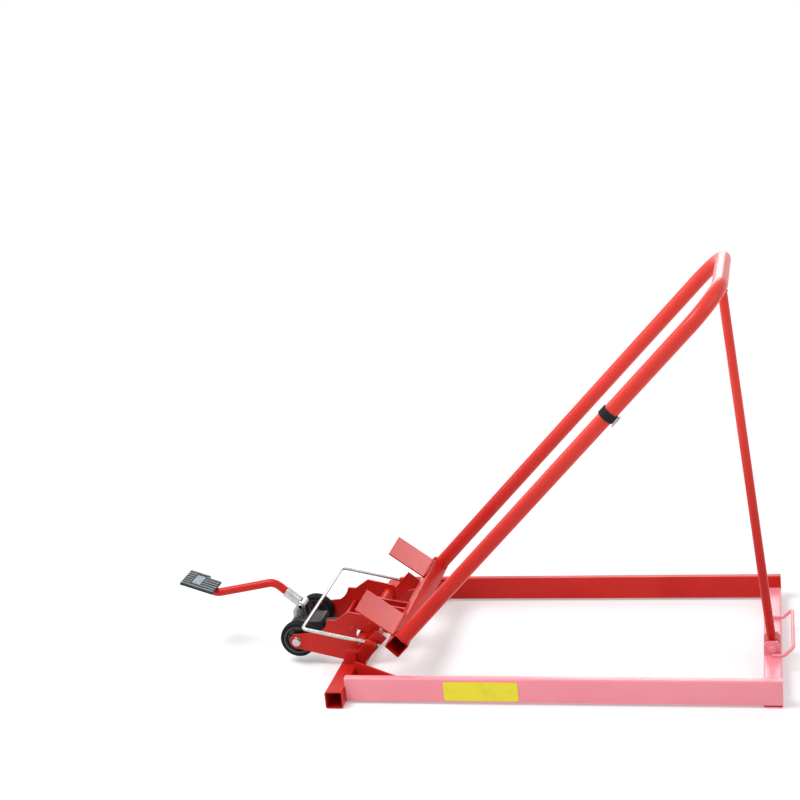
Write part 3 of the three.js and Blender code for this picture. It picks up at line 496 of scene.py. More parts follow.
# %% [markdown]
# ## The lifting frame
#
# One tube of 42 mm is bent twice into two legs and a bow. It is welded to a square tube whose ends are
# open. The frame is drawn in its raised place: `along` runs up the legs and `square` is normal to them.

# %% The bent tube
pivot = place_of("frame_lift")
raised = radians(46)
along = Vector((cos(raised), 0, sin(raised)))
square = Vector((-sin(raised), 0, cos(raised)))
tube_centre = pivot + Vector((0.119, 0, 0.014))
lift_tube = 0.050
lift_face = lift_tube / 2 + GAP
leg_gauge, leg_length, leg_radius, bow_bend = 0.2785, 1.328, 0.021, 0.120


def on_frame(u, y, v=0.0):
    """A point of the raised frame: u along the legs, v square to them."""
    return tube_centre + along * u + square * v + Vector((0, y, 0))


leg_path = bent_path([on_frame(lift_face, -leg_gauge), on_frame(leg_length, -leg_gauge),
                      on_frame(leg_length, leg_gauge), on_frame(lift_face, leg_gauge)], bow_bend, 40)
frame_tube = sweep("bent_lifting_tube", leg_path, leg_radius, RED, wall=0.0026, sides=72)
wear(frame_tube, "lifting_frame", "red_paint", "lifting_frame_tube")
print("lifting tube:", len(frame_tube.data.polygons), "faces")

# %% [markdown]
# ## Box sections
#
# Square and oblong tubes are cold-formed, so their corners are round: about twice the wall outside and
# once inside. One helper draws both rounded outlines and joins them at both open ends.

# %% Rounded box tubes
LIGHT_WALL, HEAVY_WALL = 0.0025, 0.003


def rounded(width, height, radius, steps=5):
    """The corners of a rounded oblong, counter-clockwise."""
    points = []
    for cx, cy, start in ((1, 1, 0), (-1, 1, 90), (-1, -1, 180), (1, -1, 270)):
        for k in range(steps + 1):
            a = radians(start + 90 * k / steps)
            points.append((cx * (width / 2 - radius) + radius * cos(a),
                           cy * (height / 2 - radius) + radius * sin(a)))
    return points


def box_tube(name, start, end, across, width, height, wall, material):
    """An open rounded tube from start to end; width lies along the direction across."""
    other = (end - start).normalized().cross(across)
    outer = rounded(width, height, 2 * wall)
    inner = rounded(width - 2 * wall, height - 2 * wall, wall)
    loops = [(start, outer), (end, outer), (end, inner), (start, inner)]
    verts = [p + across * a + other * b for p, line in loops for a, b in line]
    return mesh_object(name, verts, ring_faces(len(outer), len(loops), True), material)


lower_tube = box_tube("square_lifting_tube", on_frame(0, -0.295), on_frame(0, 0.295), along,
                      lift_tube, lift_tube, LIGHT_WALL, RED)
wear(lower_tube, "lifting_frame", "red_paint", "lifting_frame_cross_tube")
for name, node, way, across, wall, paint, slot in (
        ("jack_end_tube", "hinge_end_cross_tube", Y_WAY, X_WAY, HEAVY_WALL, RED, "red_paint"),
        ("near_side_rail", "near_rail", X_WAY, Y_WAY, LIGHT_WALL, PALE_LIT_RED, "faded_paint"),
        ("far_side_rail", "far_rail", X_WAY, Y_WAY, LIGHT_WALL, RED, "red_paint")):
    centre, size = middle(node)
    half = way * (size.dot(way) / 2)
    piece = box_tube(name, centre - half, centre + half, across, size.dot(across), size.z, wall, paint)
    wear(piece, "base", slot, node)
print("box sections done")

# %% [markdown]
# The flat-lying end tube runs under both rails. It is notched there, so only its lowest few millimetres
# pass beneath them. The full section stops at the rails' inner faces, and a thin lap carries on outside.

# %% The end tube
centre, size = middle("handle_end_cross_tube")
rail_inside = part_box("far_rail")[0].y - GAP
end_tube = box_tube("handle_end_tube", Vector((centre.x, -rail_inside, centre.z)),
                    Vector((centre.x, rail_inside, centre.z)), X_WAY, size.x, size.z, HEAVY_WALL, PALE_LIT_RED)
wear(end_tube, "base", "faded_paint", "handle_end_cross_tube")


def trough(name, x_low, x_high, y_low, y_high, height, wall, radius, material):
    """The lower part of a rounded tube: a shallow channel with upturned edges."""
    half, centre = (x_high - x_low) / 2, (x_low + x_high) / 2
    outer = [(-half, height), (-half, radius)]
    outer += [(-half + radius * (1 - cos(radians(a))), radius * (1 - sin(radians(a)))) for a in (30, 60, 90)]
    outer += [(-x, z) for x, z in reversed(outer)]
    inner = [(x * (1 - wall / half), max(z, wall)) for x, z in reversed(outer)]
    line = [(centre + x, z) for x, z in outer + inner]
    n = len(line)
    verts = [(x, y, z) for y in (y_low, y_high) for x, z in line]
    faces = [(k, (k + 1) % n, n + (k + 1) % n, n + k) for k in range(n)]
    for base in (0, n):
        faces += [(base + k, base + k + 1, base + n - 2 - k, base + n - 1 - k) for k in range(n // 2 - 1)]
    return mesh_object(name, verts, faces, material)


low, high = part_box("handle_end_cross_tube")
lap_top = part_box("far_rail")[0].z - GAP
lap_corner = 0.005
for side, y_low, y_high in (("near", low.y, -rail_inside), ("far", rail_inside, high.y)):
    lap = trough("end_tube_lap_" + side, low.x, high.x, y_low, y_high, lap_top, HEAVY_WALL, lap_corner, PALE_LIT_RED)
    wear(lap, "base", "faded_paint")
print("end tube with laps", round(lap_top / MM, 1), "mm high")

# %% [markdown]
# ## Plates
#
# Plates are flame-cut or punched, so they are flat outlines with holes and a small rounded edge. A
# filled 2D curve would do it, but its fill can lose a face where an outline turns sharply. So each
# outline is moved inwards a little at a time for the rounded rim, and the flat faces between the last
# rings come from a triangulation that keeps every hole.

# %% Outlines
def arc(cx, cz, r, start, end, steps=10):
    """Points on an arc, in degrees."""
    return [(cx + r * cos(radians(start + (end - start) * k / steps)),
             cz + r * sin(radians(start + (end - start) * k / steps))) for k in range(steps + 1)]


def hole(cx, cz, r, steps=28):
    return arc(cx, cz, r, 0, 360, steps)[:-1]


def curve(start, bend, end, steps):
    """Points past start on a curve to end that is pulled towards bend."""
    start, bend, end = Vector(start), Vector(bend), Vector(end)
    return [start.lerp(bend, t).lerp(bend.lerp(end, t), t) for t in (k / steps for k in range(1, steps + 1))]


def inset(loop, distance):
    """A closed loop with every corner moved to its left, along the middle of the corner."""
    moved = []
    for before, here, after in zip(loop[-1:] + loop[:-1], loop, loop[1:] + loop[:1]):
        first, second = (here - before).normalized(), (after - here).normalized()
        left = Vector((-first.y - second.y, first.x + second.x))
        moved.append(here + left * (distance / max(1 + first.dot(second), 0.35)))
    return moved


def inside(point, loop):
    """True where a point lies inside a closed loop, by counting the sides that it passes."""
    passed = False
    for a, b in zip(loop, loop[1:] + loop[:1]):
        if (a.y > point.y) != (b.y > point.y):
            if point.x < (b.x - a.x) * (point.y - a.y) / (b.y - a.y) + a.x:
                passed = not passed
    return passed


def area(loop):
    """The area inside a closed loop, positive where it runs counter-clockwise."""
    return sum(a.cross(b) for a, b in zip(loop, loop[1:] + loop[:1])) / 2


print("outline helpers ready")

# %% A plate from outlines
# the rim's steps inwards and down, as shares of the edge, and the angle under which they look smooth
RIM = [(1.0, 0.0), (0.5, 0.134), (0.134, 0.5), (0.0, 1.0)]
PLATE_SMOOTH = 14


def flat_piece(outlines, thickness, place, edge):
    """Vertices and faces of a plate: the first outline less the others, in X and Y, set down by a matrix."""
    loops = [[Vector(p) for p in points] for points in outlines]
    loops = [loop if (area(loop) > 0) == (i == 0) else loop[::-1] for i, loop in enumerate(loops)]
    levels = [(a * edge, thickness / 2 - b * edge) for a, b in RIM]
    levels += [(distance, -z) for distance, z in reversed(levels)]
    verts, faces, borders, top = [], [], [], []
    for loop in loops:
        n, base = len(loop), len(verts)
        for distance, z in levels:
            verts += [(p.x, p.y, z) for p in inset(loop, distance)]
        for row in range(len(levels) - 1):
            low, high = base + (row + 1) * n, base + row * n
            faces += [(low + k, low + (k + 1) % n, high + (k + 1) % n, high + k) for k in range(n)]
        borders += [(len(top) + k, len(top) + (k + 1) % n) for k in range(n)]
        top += [(base + k, base + (len(levels) - 1) * n + k) for k in range(n)]
    flat = [Vector(verts[above][:2]) for above, below in top]
    _, _, triangles, origin, _, _ = delaunay_2d_cdt(flat, borders, [], 0, 1e-8)
    rims = [inset(loop, edge) for loop in loops]
    for triangle in triangles:
        a, b, c = (origin[i][0] for i in triangle)
        if sum(inside((flat[a] + flat[b] + flat[c]) / 3, rim) for rim in rims) == 1:
            if (flat[b] - flat[a]).cross(flat[c] - flat[a]) < 0:
                a, b = b, a
            faces += [(top[a][0], top[b][0], top[c][0]), (top[c][1], top[b][1], top[a][1])]
    return [place @ Vector(v) for v in verts], faces


def plate(name, outlines, thickness, place, material, edge=0.0008):
    return mesh_object(name, *flat_piece(outlines, thickness, place, edge), material, PLATE_SMOOTH)


def standing_plate(name, node, outlines, material, body, slot, edge=0.0008):
    """A plate drawn in X and Z, with the place and the thickness of a CAD plate that faces the near side."""
    centre, size = middle(node)
    upright = Matrix.Translation((0, centre.y, 0)) @ Matrix.Rotation(pi / 2, 4, "X")
    wear(plate(name, outlines, size.y, upright, material, edge), body, slot, node)


def box_outline(node, radius, steps):
    """The rounded outline of a CAD plate's box, in X and Z."""
    centre, size = middle(node)
    return [(centre.x + a, centre.z + b) for a, b in rounded(size.x, size.z, radius, steps)]


print("plate helpers ready")

# %% [markdown]
# ### Side plates
#
# Each side plate carries the wheel in its round nose, humps up over the jack, and is notched over the
# square tube. The window lets the hand reach the jack.

# %% Two side plates
axle = place_of("near_wheel_spin")
tie = middle("chassis_tie_rod")[0]
tube_low, tube_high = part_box("hinge_end_cross_tube")
tube_left, tube_right, tube_top = tube_low.x, tube_high.x, tube_high.z + GAP
nose, crest_radius = 0.022, 0.029


def from_tube(x, z):
    """A place in millimetres from the outer face of the jack-end tube and the ground."""
    return (tube_left + x * MM, z * MM)


hump_end, hump_bend, nose_start = from_tube(-55, 142), from_tube(-62, 116), from_tube(-84, 104)
plate_line = [(axle.x - 0.005, axle.z - nose), from_tube(-0.3, 14), (tube_left - GAP, tube_top),
              (tube_right + GAP, tube_top), from_tube(78.3, 62.3)]
plate_line += arc(pivot.x, pivot.z, crest_radius, -24, 62, 12)
plate_line += [from_tube(16, 167), from_tube(9, 168), from_tube(-31, 141), hump_end]
plate_line += curve(hump_end, hump_bend, nose_start, 8)
plate_line += arc(axle.x, axle.z, nose, 90, 250, 16)
window = [from_tube(*p) for p in ((27, 116), (30, 60), (52, 86), (60, 104))]
holes = [window, hole(pivot.x, pivot.z, 0.0103), hole(tie.x, tie.z, 0.0062), hole(axle.x, axle.z, 0.0073)]
for side in SIDES:
    standing_plate(side + "_jack_cheek", side + "_side_plate", [plate_line] + holes, RED, "base", "red_paint",
                   edge=0.0005)
print("side plates:", len(plate_line), "outline points")

# %% [markdown]
# ### Posts, braces, levers and wheel stops
#
# The slanting posts hold the guide bushes of the bail, and flat braces tie the square tube to the rails.
# Levers hang from the lifting tube and carry the roller that the ram pushes on. The wheel stops are
# folded plates on the lifting tube.

# %% Posts, their feet and the corner braces
post_line = [from_tube(x, z) for x, z in ((30, 50.3), (50.3, 50.3), (50.3, 36), (74, 36), (77, 58), (103, 86),
                                         (144, 128), (115, 152), (56, 88), (30, 62))]
brace_bar, brace_reach = 0.006, 0.115    # the bar's width, and how far it runs across
for side, sign in SIDES.items():
    standing_plate(side + "_slanting_post", side + "_support_post", [post_line], RED, "base", "red_paint")
    foot_line = box_outline(side + "_post_foot", 0.003, 3)
    standing_plate(side + "_post_shoe", side + "_post_foot", [foot_line], RED, "base", "red_paint")
    low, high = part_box(side + "_corner_brace")
    inner_y, outer_y = (sign * y for y in sorted((abs(low.y), abs(high.y))))
    slant = brace_bar * hypot(high.x - low.x, brace_reach)
    brace_line = [(low.x, inner_y), (high.x, outer_y), (high.x - slant / brace_reach, outer_y),
                  (low.x, inner_y + sign * slant / (high.x - low.x))]
    lie_flat = Matrix.Translation((0, 0, (low.z + high.z) / 2))
    brace = plate(side + "_flat_brace", [brace_line], high.z - low.z, lie_flat, RED, edge=0.0006)
    wear(brace, "base", "red_paint", side + "_corner_brace")
print("posts, shoes and braces done")

# %% Levers on the lifting tube
roller = place_of("roller_spin")
hub_radius, lever_eye, lever_root = 0.017, 0.015, 0.018
face_low, face_high = (on_frame(-lift_face, 0, v) for v in (-lever_root, lever_root))
lever_line = [(face_high.x, face_high.z), (face_low.x, face_low.z)]
lever_line += arc(roller.x, roller.z, lever_eye, 0, -180, 10)
lever_line += arc(pivot.x, pivot.z, hub_radius + 0.008, 180, 90, 8)
holes = [hole(pivot.x, pivot.z, hub_radius + 0.0004), hole(roller.x, roller.z, 0.0064)]
for side in SIDES:
    standing_plate(side + "_lift_lever", side + "_lever", [lever_line] + holes, RED, "lifting_frame",
                   "red_paint")
print("levers done")

# %% Wheel stops
lean = tan(radians(7))
stop_thick, stop_foot, stop_height = 0.004, 0.014, 0.128
stop_line = [(0.0, 0.0), (stop_foot, 0.0), (stop_foot - 0.0005, stop_thick), (0.0065, stop_thick),
             (0.0045, 0.0046), (stop_thick, 0.0065), (stop_thick, stop_height - 0.001), (0.0032, stop_height),
             (0.0008, stop_height), (0.0, stop_height - 0.001)]


def bar_from_line(name, line, to_world, y_low, y_high, material):
    """An outline in a plane of its own pushed across from y_low to y_high, with softened edges."""
    n = len(line)
    verts = [to_world(a, y, b) for y in (y_low, y_high) for a, b in line]
    faces = [(k, (k + 1) % n, n + (k + 1) % n, n + k) for k in range(n)]
    faces += [tuple(range(n)), tuple(range(n, 2 * n))]
    made = mesh_object(name, verts, faces, material)
    bevel = made.modifiers.new("softened edges", "BEVEL")
    bevel.width, bevel.segments, bevel.limit_method, bevel.angle_limit = 0.0008, 2, "ANGLE", radians(50)
    return made


def on_stop(u, y, v):
    """u along the foot, v up the stop, which leans back from the tube's face."""
    return on_frame(lift_tube / 2 - stop_foot + u - v * lean, y, lift_face + v)


for side in SIDES:
    low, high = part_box(side + "_wheel_stop")
    stop = bar_from_line(side + "_tyre_stop", stop_line, on_stop, low.y, high.y, RED)
    wear(stop, "lifting_frame", "red_paint", side + "_wheel_stop")
print("wheel stops done")

# %% [markdown]
# ## The prop strut
#
# The strut is a plain tube with a cross sleeve at its foot, which turns on a bolt between two plates.
# Its saddle is a small plate under the bow, tilted so that the bow can slide off it as the strut folds
# away, with a low lip towards the jack.

# %% Clevis plates
strut_foot = place_of("strut_fold")
shoulder = strut_foot.z + 0.010
for side in SIDES:
    low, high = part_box(side + "_clevis_plate")
    half_wide = (high.x - low.x) / 2
    lug_line = [(strut_foot.x + half_wide * share, z) for share, z in (
        (-1, low.z), (1, low.z), (1, shoulder), (0.6, high.z), (-0.6, high.z), (-1, shoulder))]
    standing_plate(side + "_strut_lug", side + "_clevis_plate",
                   [lug_line, hole(strut_foot.x, strut_foot.z, 0.0066)], PALE_LIT_RED, "base", "faded_paint")
print("clevis plates done")

# %% Strut tube, sleeve and saddle
bow = on_frame(leg_length, 0)
strut_up = Vector((bow.x - strut_foot.x, 0, bow.z - strut_foot.z)).normalized()
strut_side = Vector((strut_up.z, 0, -strut_up.x))
reach = hypot(bow.x - strut_foot.x, bow.z - strut_foot.z)
tilt = radians(24)
strut_radius, shelf_thick, shelf_half = 0.0125, 0.004, 0.012
bow_room = 0.0216    # from the bow's middle down to the saddle's face
shelf_height = reach - bow_room / cos(tilt)
strut_top = shelf_height - shelf_thick / cos(tilt) - strut_radius * tan(tilt) - GAP


def on_strut(a, y, b):
    """a to the side, y across, b up the strut from its hinge bolt."""
    return strut_foot + strut_side * a + strut_up * b + Vector((0, y, 0))


def on_saddle(a, y, b):
    """a along the saddle's tilted face, y across, b square to the face."""
    return on_strut(a * cos(tilt) + b * sin(tilt), y, shelf_height - a * sin(tilt) + b * cos(tilt))


strut_tube = sweep("prop_tube", straight(strut_foot, strut_up, 0.0105, strut_top), strut_radius, RED,
                   wall=0.002, sides=36)
wear(strut_tube, "prop_strut", "red_paint", "strut_tube")
low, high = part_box("strut_foot_sleeve")
sleeve_middle = Vector((strut_foot.x, 0, strut_foot.z))
sleeve = sweep("prop_foot_sleeve", straight(sleeve_middle, Y_WAY, low.y, high.y), 0.011, RED, wall=0.0045)
wear(sleeve, "prop_strut", "red_paint", "strut_foot_sleeve")
heel = -bow_room * tan(tilt) - shelf_half
saddle_line = [(heel - 0.004, 0.003), (heel, 0.003), (heel, 0.0009), (heel + 0.0009, 0.0), (shelf_half, 0.0),
               (shelf_half, -shelf_thick), (heel, -shelf_thick), (heel - 0.003, -0.003), (heel - 0.004, 0.0)]
saddle = bar_from_line("prop_saddle", saddle_line, on_saddle, -0.020, 0.020, RED)
wear(saddle, "prop_strut", "red_paint", "strut_saddle")
print("strut %.0f mm long" % (reach / MM))

# %% [markdown]
# ## The carry handle and the sliding bail
#
# Both are bent round rod. The handle lies on the end tube and is welded there. The bail slides in two
# bushes on the posts, and a push-on clip at each end stops it from coming out.

# %% Two bent rods
rod, rod_bend = 0.005, 0.014


def bent_rod(name, line, y_low, y_high, material):
    """A round rod that follows a line in X and Z on one side, crosses over, and follows it back."""
    corners = [(x, y_low, z) for x, z in line] + [(x, y_high, z) for x, z in reversed(line)]
    return sweep(name, bent_path(corners, rod_bend, 8), rod, material, sides=20, cap_round=0.001)


low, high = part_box("carry_handle")
handle_line = [(low.x, low.z + rod), (tube_left + 1.241, low.z + rod), (high.x - rod, high.z - rod)]
handle = bent_rod("bent_carry_handle", handle_line, low.y + rod, high.y - rod, PALE_LIT_RED)
wear(handle, "base", "faded_paint", "carry_handle")

bail_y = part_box("sliding_bail")[1].y - rod
bail_tip, bail_cross = (tube_left + 0.126, 0.112), (tube_left - 0.099, 0.163)
bail = bent_rod("bent_bail", [bail_tip, bail_cross], -bail_y, bail_y, ZINC)
wear(bail, "bail", "zinc", "sliding_bail")

# %% Bushes and clips on the bail
bail_way = Vector(joint["bail_slide"]["axis"]).normalized()
BUSH_AT, CLIP_AT = 98, 117    # millimetres from the outer face of the jack-end tube


def on_bail(x, sign):
    """The bail's axis at a distance x, in millimetres, from the jack-end tube's outer face."""
    share = (tube_left + x * MM - bail_cross[0]) / (bail_tip[0] - bail_cross[0])
    return Vector((tube_left + x * MM, sign * bail_y, bail_cross[1] + share * (bail_tip[1] - bail_cross[1])))


for side, sign in SIDES.items():
    bush = sweep(side + "_bail_bush", straight(on_bail(BUSH_AT, sign), bail_way, -0.016, 0.016), 0.008, RED,
                 wall=0.0026, sides=28)
    wear(bush, "base", "red_paint", side + "_guide_bush")
    clip = sweep(side + "_push_clip", straight(on_bail(CLIP_AT, sign), bail_way, -0.0015, 0.0015), 0.0074,
                 CASTING, wall=0.0021, sides=24)
    wear(clip, "bail", "cast_black", side + "_bail_clip")
print("rods, bushes and clips done")

# %% [markdown]
# ## Turned pieces
#
# Wheels, shafts and bolt heads are turned or pressed round an axis. One lathe helper spins a
# profile of (radius, distance along the axis) about any line.

# %% A lathe
def frame_about(origin, axis):
    """A place, an axis, and two directions square to it, for drawing round it."""
    axis = Vector(axis).normalized()
    first = axis.orthogonal().normalized()
    return Vector(origin), axis, first, axis.cross(first)


def lathe(name, profile, origin, axis, material, sides=48):
    """Spins a profile that is closed on itself, or that starts and ends on the axis."""
    origin, axis, a, b = frame_about(origin, axis)
    closed = profile[0] == profile[-1]
    line = profile[:-1] if closed else profile
    n = len(line)
    verts = [origin + axis * h + (a * cos(2 * pi * k / sides) + b * sin(2 * pi * k / sides)) * r
             for k in range(sides) for r, h in line]
    faces = []
    for k in range(sides):
        j = (k + 1) % sides
        for i in range(n if closed else n - 1):
            m = (i + 1) % n
            face = [k * n + i, k * n + m, j * n + m, j * n + i]
            if line[i][0] == 0:
                face.remove(j * n + i)
            if line[m][0] == 0:
                face.remove(j * n + m)
            faces.append(tuple(face))
    return mesh_object(name, verts, faces, material)


def turned(profile, origin, axis, sides=36):
    """The vertices and faces of a lathe shape, for joining."""
    piece = lathe("scrap", profile, origin, axis, ZINC, sides)
    mesh = piece.data
    shape = [v.co.copy() for v in mesh.vertices], [tuple(p.vertices) for p in mesh.polygons]
    bpy.data.objects.remove(piece)
    bpy.data.meshes.remove(mesh)
    return shape


def rod_profile(radius, start, end, edge=0.0008):
    return [(0, start), (radius - edge, start), (radius, start + edge),
            (radius, end - edge), (radius - edge, end), (0, end)]


def ring_profile(outer, inner, start, end, edge=0.0004):
    return [(inner, start), (outer - edge, start), (outer, start + edge),
            (outer, end - edge), (outer - edge, end), (inner, end), (inner, start)]


def mirrored(line, between=()):
    """A closed profile: a line, what lies between, and the line again on the axis's other half."""
    return line + list(between) + [(r, -h) for r, h in reversed(line)] + line[:1]


print("lathe ready")

# %% A hexagon with a chamfer
# shares of the height where the flats end and the chamfer bends, and of the width for the top and its middle
FLATS_END, CHAMFER_BEND, TOP_WIDTH, DIMPLE_WIDTH = 0.78, 0.92, 0.94, 0.5


def hex_head(origin, axis, flats, height, bore=0.0, dome=0.0):
    """Vertices and faces of a chamfered hexagon on the plane through origin, growing along the axis."""
    origin, axis, a, b = frame_about(origin, axis)
    sides, half_flats = 36, flats / 2
    half_corners = half_flats / cos(pi / 6)

    def ring(h, widest=half_corners):
        """Points round the hexagon, cut back to a circle of the widest radius."""
        points = []
        for k in range(sides):
            angle = 2 * pi * k / sides
            hexed = half_flats / cos((angle + pi / 6) % (pi / 3) - pi / 6)
            points.append(origin + axis * h + (a * cos(angle) + b * sin(angle)) * min(widest, hexed))
        return points

    loops = [ring(0.0), ring(height * FLATS_END),
             ring(height * CHAMFER_BEND, (half_flats + half_corners) / 2),
             ring(height, half_flats * TOP_WIDTH), ring(height + dome, max(bore, half_flats * DIMPLE_WIDTH))]
    if bore:
        loops.append(ring(0.0, bore))
    return [v for one in loops for v in one], ring_faces(sides, len(loops), bool(bore))


def join_pieces(name, pieces, material, smooth=32.0):
    """One mesh from several lists of vertices and faces."""
    verts, faces = [], []
    for some_verts, some_faces in pieces:
        base = len(verts)
        verts += some_verts
        faces += [tuple(base + i for i in face) for face in some_faces]
    return mesh_object(name, verts, faces, material, smooth)


print("hexagon ready")

# %% [markdown]
# ### Bolts and shafts
#
# Each bolt has a chamfered hexagon head on a washer and a shank with a rounded end. The lift shaft and
# the tie rod end in washers with a groove ring, as turned shafts in such jacks do.

# %% Wheel bolts, the strut's bolt and their nuts
WASHER, NUT_ROOM = 0.002, 0.0002       # the washer's thickness, and a nut's play round its bolt
HEAD_SHARE, DOME_SHARE = 0.96, 0.02    # shares of the head's height: the hexagon, and the rise in its middle
WASHER_SHARE = 0.575                   # the washer's radius as a share of the width across flats


def bolt(name, node, head_height, flats, shank, outward, material, slot):
    """A hexagon bolt in the place of a CAD bolt whose axis is Y; outward is the head's side."""
    low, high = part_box(node)
    head_end, tail_end = (low.y, high.y) if outward < 0 else (high.y, low.y)
    under = head_end - outward * head_height
    axis, seat = (0, outward, 0), Vector(((low.x + high.x) / 2, under, (low.z + high.z) / 2))
    pieces = [hex_head(seat, axis, flats, head_height * HEAD_SHARE, dome=head_height * DOME_SHARE),
              turned(ring_profile(flats * WASHER_SHARE, shank, -WASHER, 0.0), seat, axis),
              turned(rod_profile(shank, -abs(tail_end - under), 0.001), seat, axis)]
    wear(join_pieces(name, pieces, material), "base", slot, node)


def nut(name, node, flats, bore, outward, material, slot):
    """A hexagon nut in the place of a CAD one."""
    low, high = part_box(node)
    seat = ((low.x + high.x) / 2, low.y if outward > 0 else high.y, (low.z + high.z) / 2)
    head = hex_head(seat, (0, outward, 0), flats, high.y - low.y, bore=bore)
    wear(join_pieces(name, [head], material), "base", slot, node)


FASTENERS = (("near_axle", "near_wheel", 0.0087, 0.0224, 0.007, -1, ZINC, "zinc"),
             ("far_axle", "far_wheel", 0.0087, 0.0224, 0.007, 1, ZINC, "zinc"),
             ("prop", "strut_hinge", 0.00744, 0.0192, 0.006, -1, PALE_LIT_RED, "faded_paint"))
for name, node, head_height, flats, shank, outward, paint, slot in FASTENERS:
    bolt(name + "_bolt", node + "_bolt", head_height, flats, shank, outward, paint, slot)
for name, node, _, flats, shank, outward, paint, slot in FASTENERS:
    nut(name + "_nut", node + "_nut", flats, shank + NUT_ROOM, -outward, paint, slot)
print("bolts and nuts done")

# %% Shafts and pins
END_RING_OUTER, END_RING_INNER, GROOVE = 1.45, 0.98, 0.0012    # shares of the shaft's radius, and a depth
PIN_RADIUS, PIN_BORE = 0.006, 0.0064


def shaft(name, node, radius, body, washer, material, slot):
    """A turned shaft along Y in the place of a CAD one, with washers outside the plates."""
    centre, size = middle(node)
    half = size.y / 2
    pieces = [turned(rod_profile(radius, -half, half, 0.001), centre, Y_WAY, 40)]
    for end in (-1, 1):
        start, stop = sorted((end * (half - washer), end * (half - GROOVE)))
        profile = ring_profile(radius * END_RING_OUTER, radius * END_RING_INNER, start, stop)
        pieces.append(turned(profile, centre, Y_WAY, 40))
    wear(join_pieces(name, pieces, material), body, slot, node)


shaft("turned_lift_shaft", "lift_shaft", 0.010, "base", 0.0021, RED, "red_paint")
shaft("turned_tie_rod", "chassis_tie_rod", PIN_RADIUS, "base", 0.0021, RED, "red_paint")
shaft("turned_roller_pin", "roller_pin", PIN_RADIUS, "lifting_frame", 0.0018, ZINC, "zinc")
for name, node, outer, inner, place, paint, body, slot in (
        ("turned_lever_hub", "lever_hub", hub_radius, 0.0104, pivot, RED, "lifting_frame", "red_paint"),
        ("turned_roller", "lever_roller", 0.012, PIN_BORE, roller, ZINC, "roller", "zinc")):
    low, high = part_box(node)
    profile = ring_profile(outer, inner, low.y, high.y, 0.001)
    wear(lathe(name, profile, (place.x, 0, place.z), Y_WAY, paint), body, slot, node)
print("shafts, hub and roller done")

# %% [markdown]
# ## Wheels
#
# A small solid wheel: a rubber tread with two grooves round it, pressed on a dished plastic hub. The
# hub's ribs repeat, so Geometry Nodes set one rib on each point of a circle.

# %% Tyre and hub
wheel_radius, tread, half_rim, half_hub = 0.054, 0.012, 0.015, 0.017
rim, inner = wheel_radius - tread, wheel_radius - tread + GAP
groove_at, groove_deep, web = 0.005, 0.0018, 0.005
shoulder_line = [(inner, -half_rim), (wheel_radius - 0.006, -half_rim),
                 (wheel_radius - 0.003, 0.0012 - half_rim), (wheel_radius - 0.0008, 0.004 - half_rim)]
grooves = [(wheel_radius - down, middle_y + across) for middle_y in (-groove_at, groove_at)
           for down, across in ((0, -0.0016), (groove_deep, -0.0009), (groove_deep, 0.0009), (0, 0.0016))]
hub_line = [(0.0074, -half_hub), (0.013, -half_hub), (0.0146, 0.0015 - half_hub), (0.015, -web),
            (rim - 0.009, -web), (rim - 0.006, 0.001 - half_rim), (rim - 0.005, -half_rim), (rim, -half_rim)]
for side in SIDES:
    place = place_of(side + "_wheel_spin")
    tyre = lathe(side + "_rubber_tread", mirrored(shoulder_line, grooves), place, Y_WAY, TYRE, 72)
    wear(tyre, side + "_wheel", "tyre_rubber", side + "_wheel_tyre")
    hub = lathe(side + "_dished_hub", mirrored(hub_line), place, Y_WAY, HUB_PLASTIC, 64)
    wear(hub, side + "_wheel", "wheel_plastic", side + "_wheel_hub")
print("wheels done")

# %% [markdown]
# A Geometry Nodes tree is built socket by socket. This one takes a ring of points and edges and sets a
# thin box on each point, turned to face out from the wheel's axis. Realize Instances and Set Material
# end every tree here, so that what it grows can be made a plain mesh.

# %% A tree that sets ribs round an axle
def new_tree(name, sizes):
    """An empty Geometry Nodes tree with named inputs. Returns the tree, what its inputs give, and a call
    that adds a node and returns its first output."""
    tree = bpy.data.node_groups.new(name, "GeometryNodeTree")
    tree.interface.new_socket(name="Geometry", in_out="INPUT", socket_type="NodeSocketGeometry")
    for label, value in sizes.items():
        socket = tree.interface.new_socket(name=label, in_out="INPUT", socket_type="NodeSocketFloat")
        socket.default_value = value
    tree.interface.new_socket(name="Material", in_out="INPUT", socket_type="NodeSocketMaterial")
    tree.interface.new_socket(name="Geometry", in_out="OUTPUT", socket_type="NodeSocketGeometry")

    def add(kind, inputs=None, **settings):
        return new_node(tree, kind, inputs, **settings).outputs[0]

    return tree, tree.nodes.new("NodeGroupInput").outputs, add


def finish_tree(tree, given, add, geometry):
    """Realize Instances, then Set Material, then the output."""
    real = add("GeometryNodeRealizeInstances", {"Geometry": geometry})
    dressed = add("GeometryNodeSetMaterial", {"Geometry": real, "Material": given["Material"]})
    new_node(tree, "NodeGroupOutput", {"Geometry": dressed})


def grow(name, tree, seed_verts, seed_edges, material):
    """Runs a tree on a mesh of points and edges and returns the result as a plain mesh object."""
    mesh = bpy.data.meshes.new(name + "_seed")
    mesh.from_pydata([tuple(v) for v in seed_verts], seed_edges, [])
    holder = bpy.data.objects.new(name + "_holder", mesh)
    modifier = holder.modifiers.new("grow", "NODES")
    modifier.node_group = tree
    for item in tree.interface.items_tree:
        if item.name == "Material":
            modifier[item.identifier] = material
    bpy.context.scene.collection.objects.link(holder)
    bpy.context.view_layer.update()
    plain = bpy.data.meshes.new_from_object(holder.evaluated_get(bpy.context.evaluated_depsgraph_get()))
    bpy.data.objects.remove(holder)
    plain.name = name
    made = bpy.data.objects.new(name, plain)
    bpy.context.scene.collection.objects.link(made)
    return made


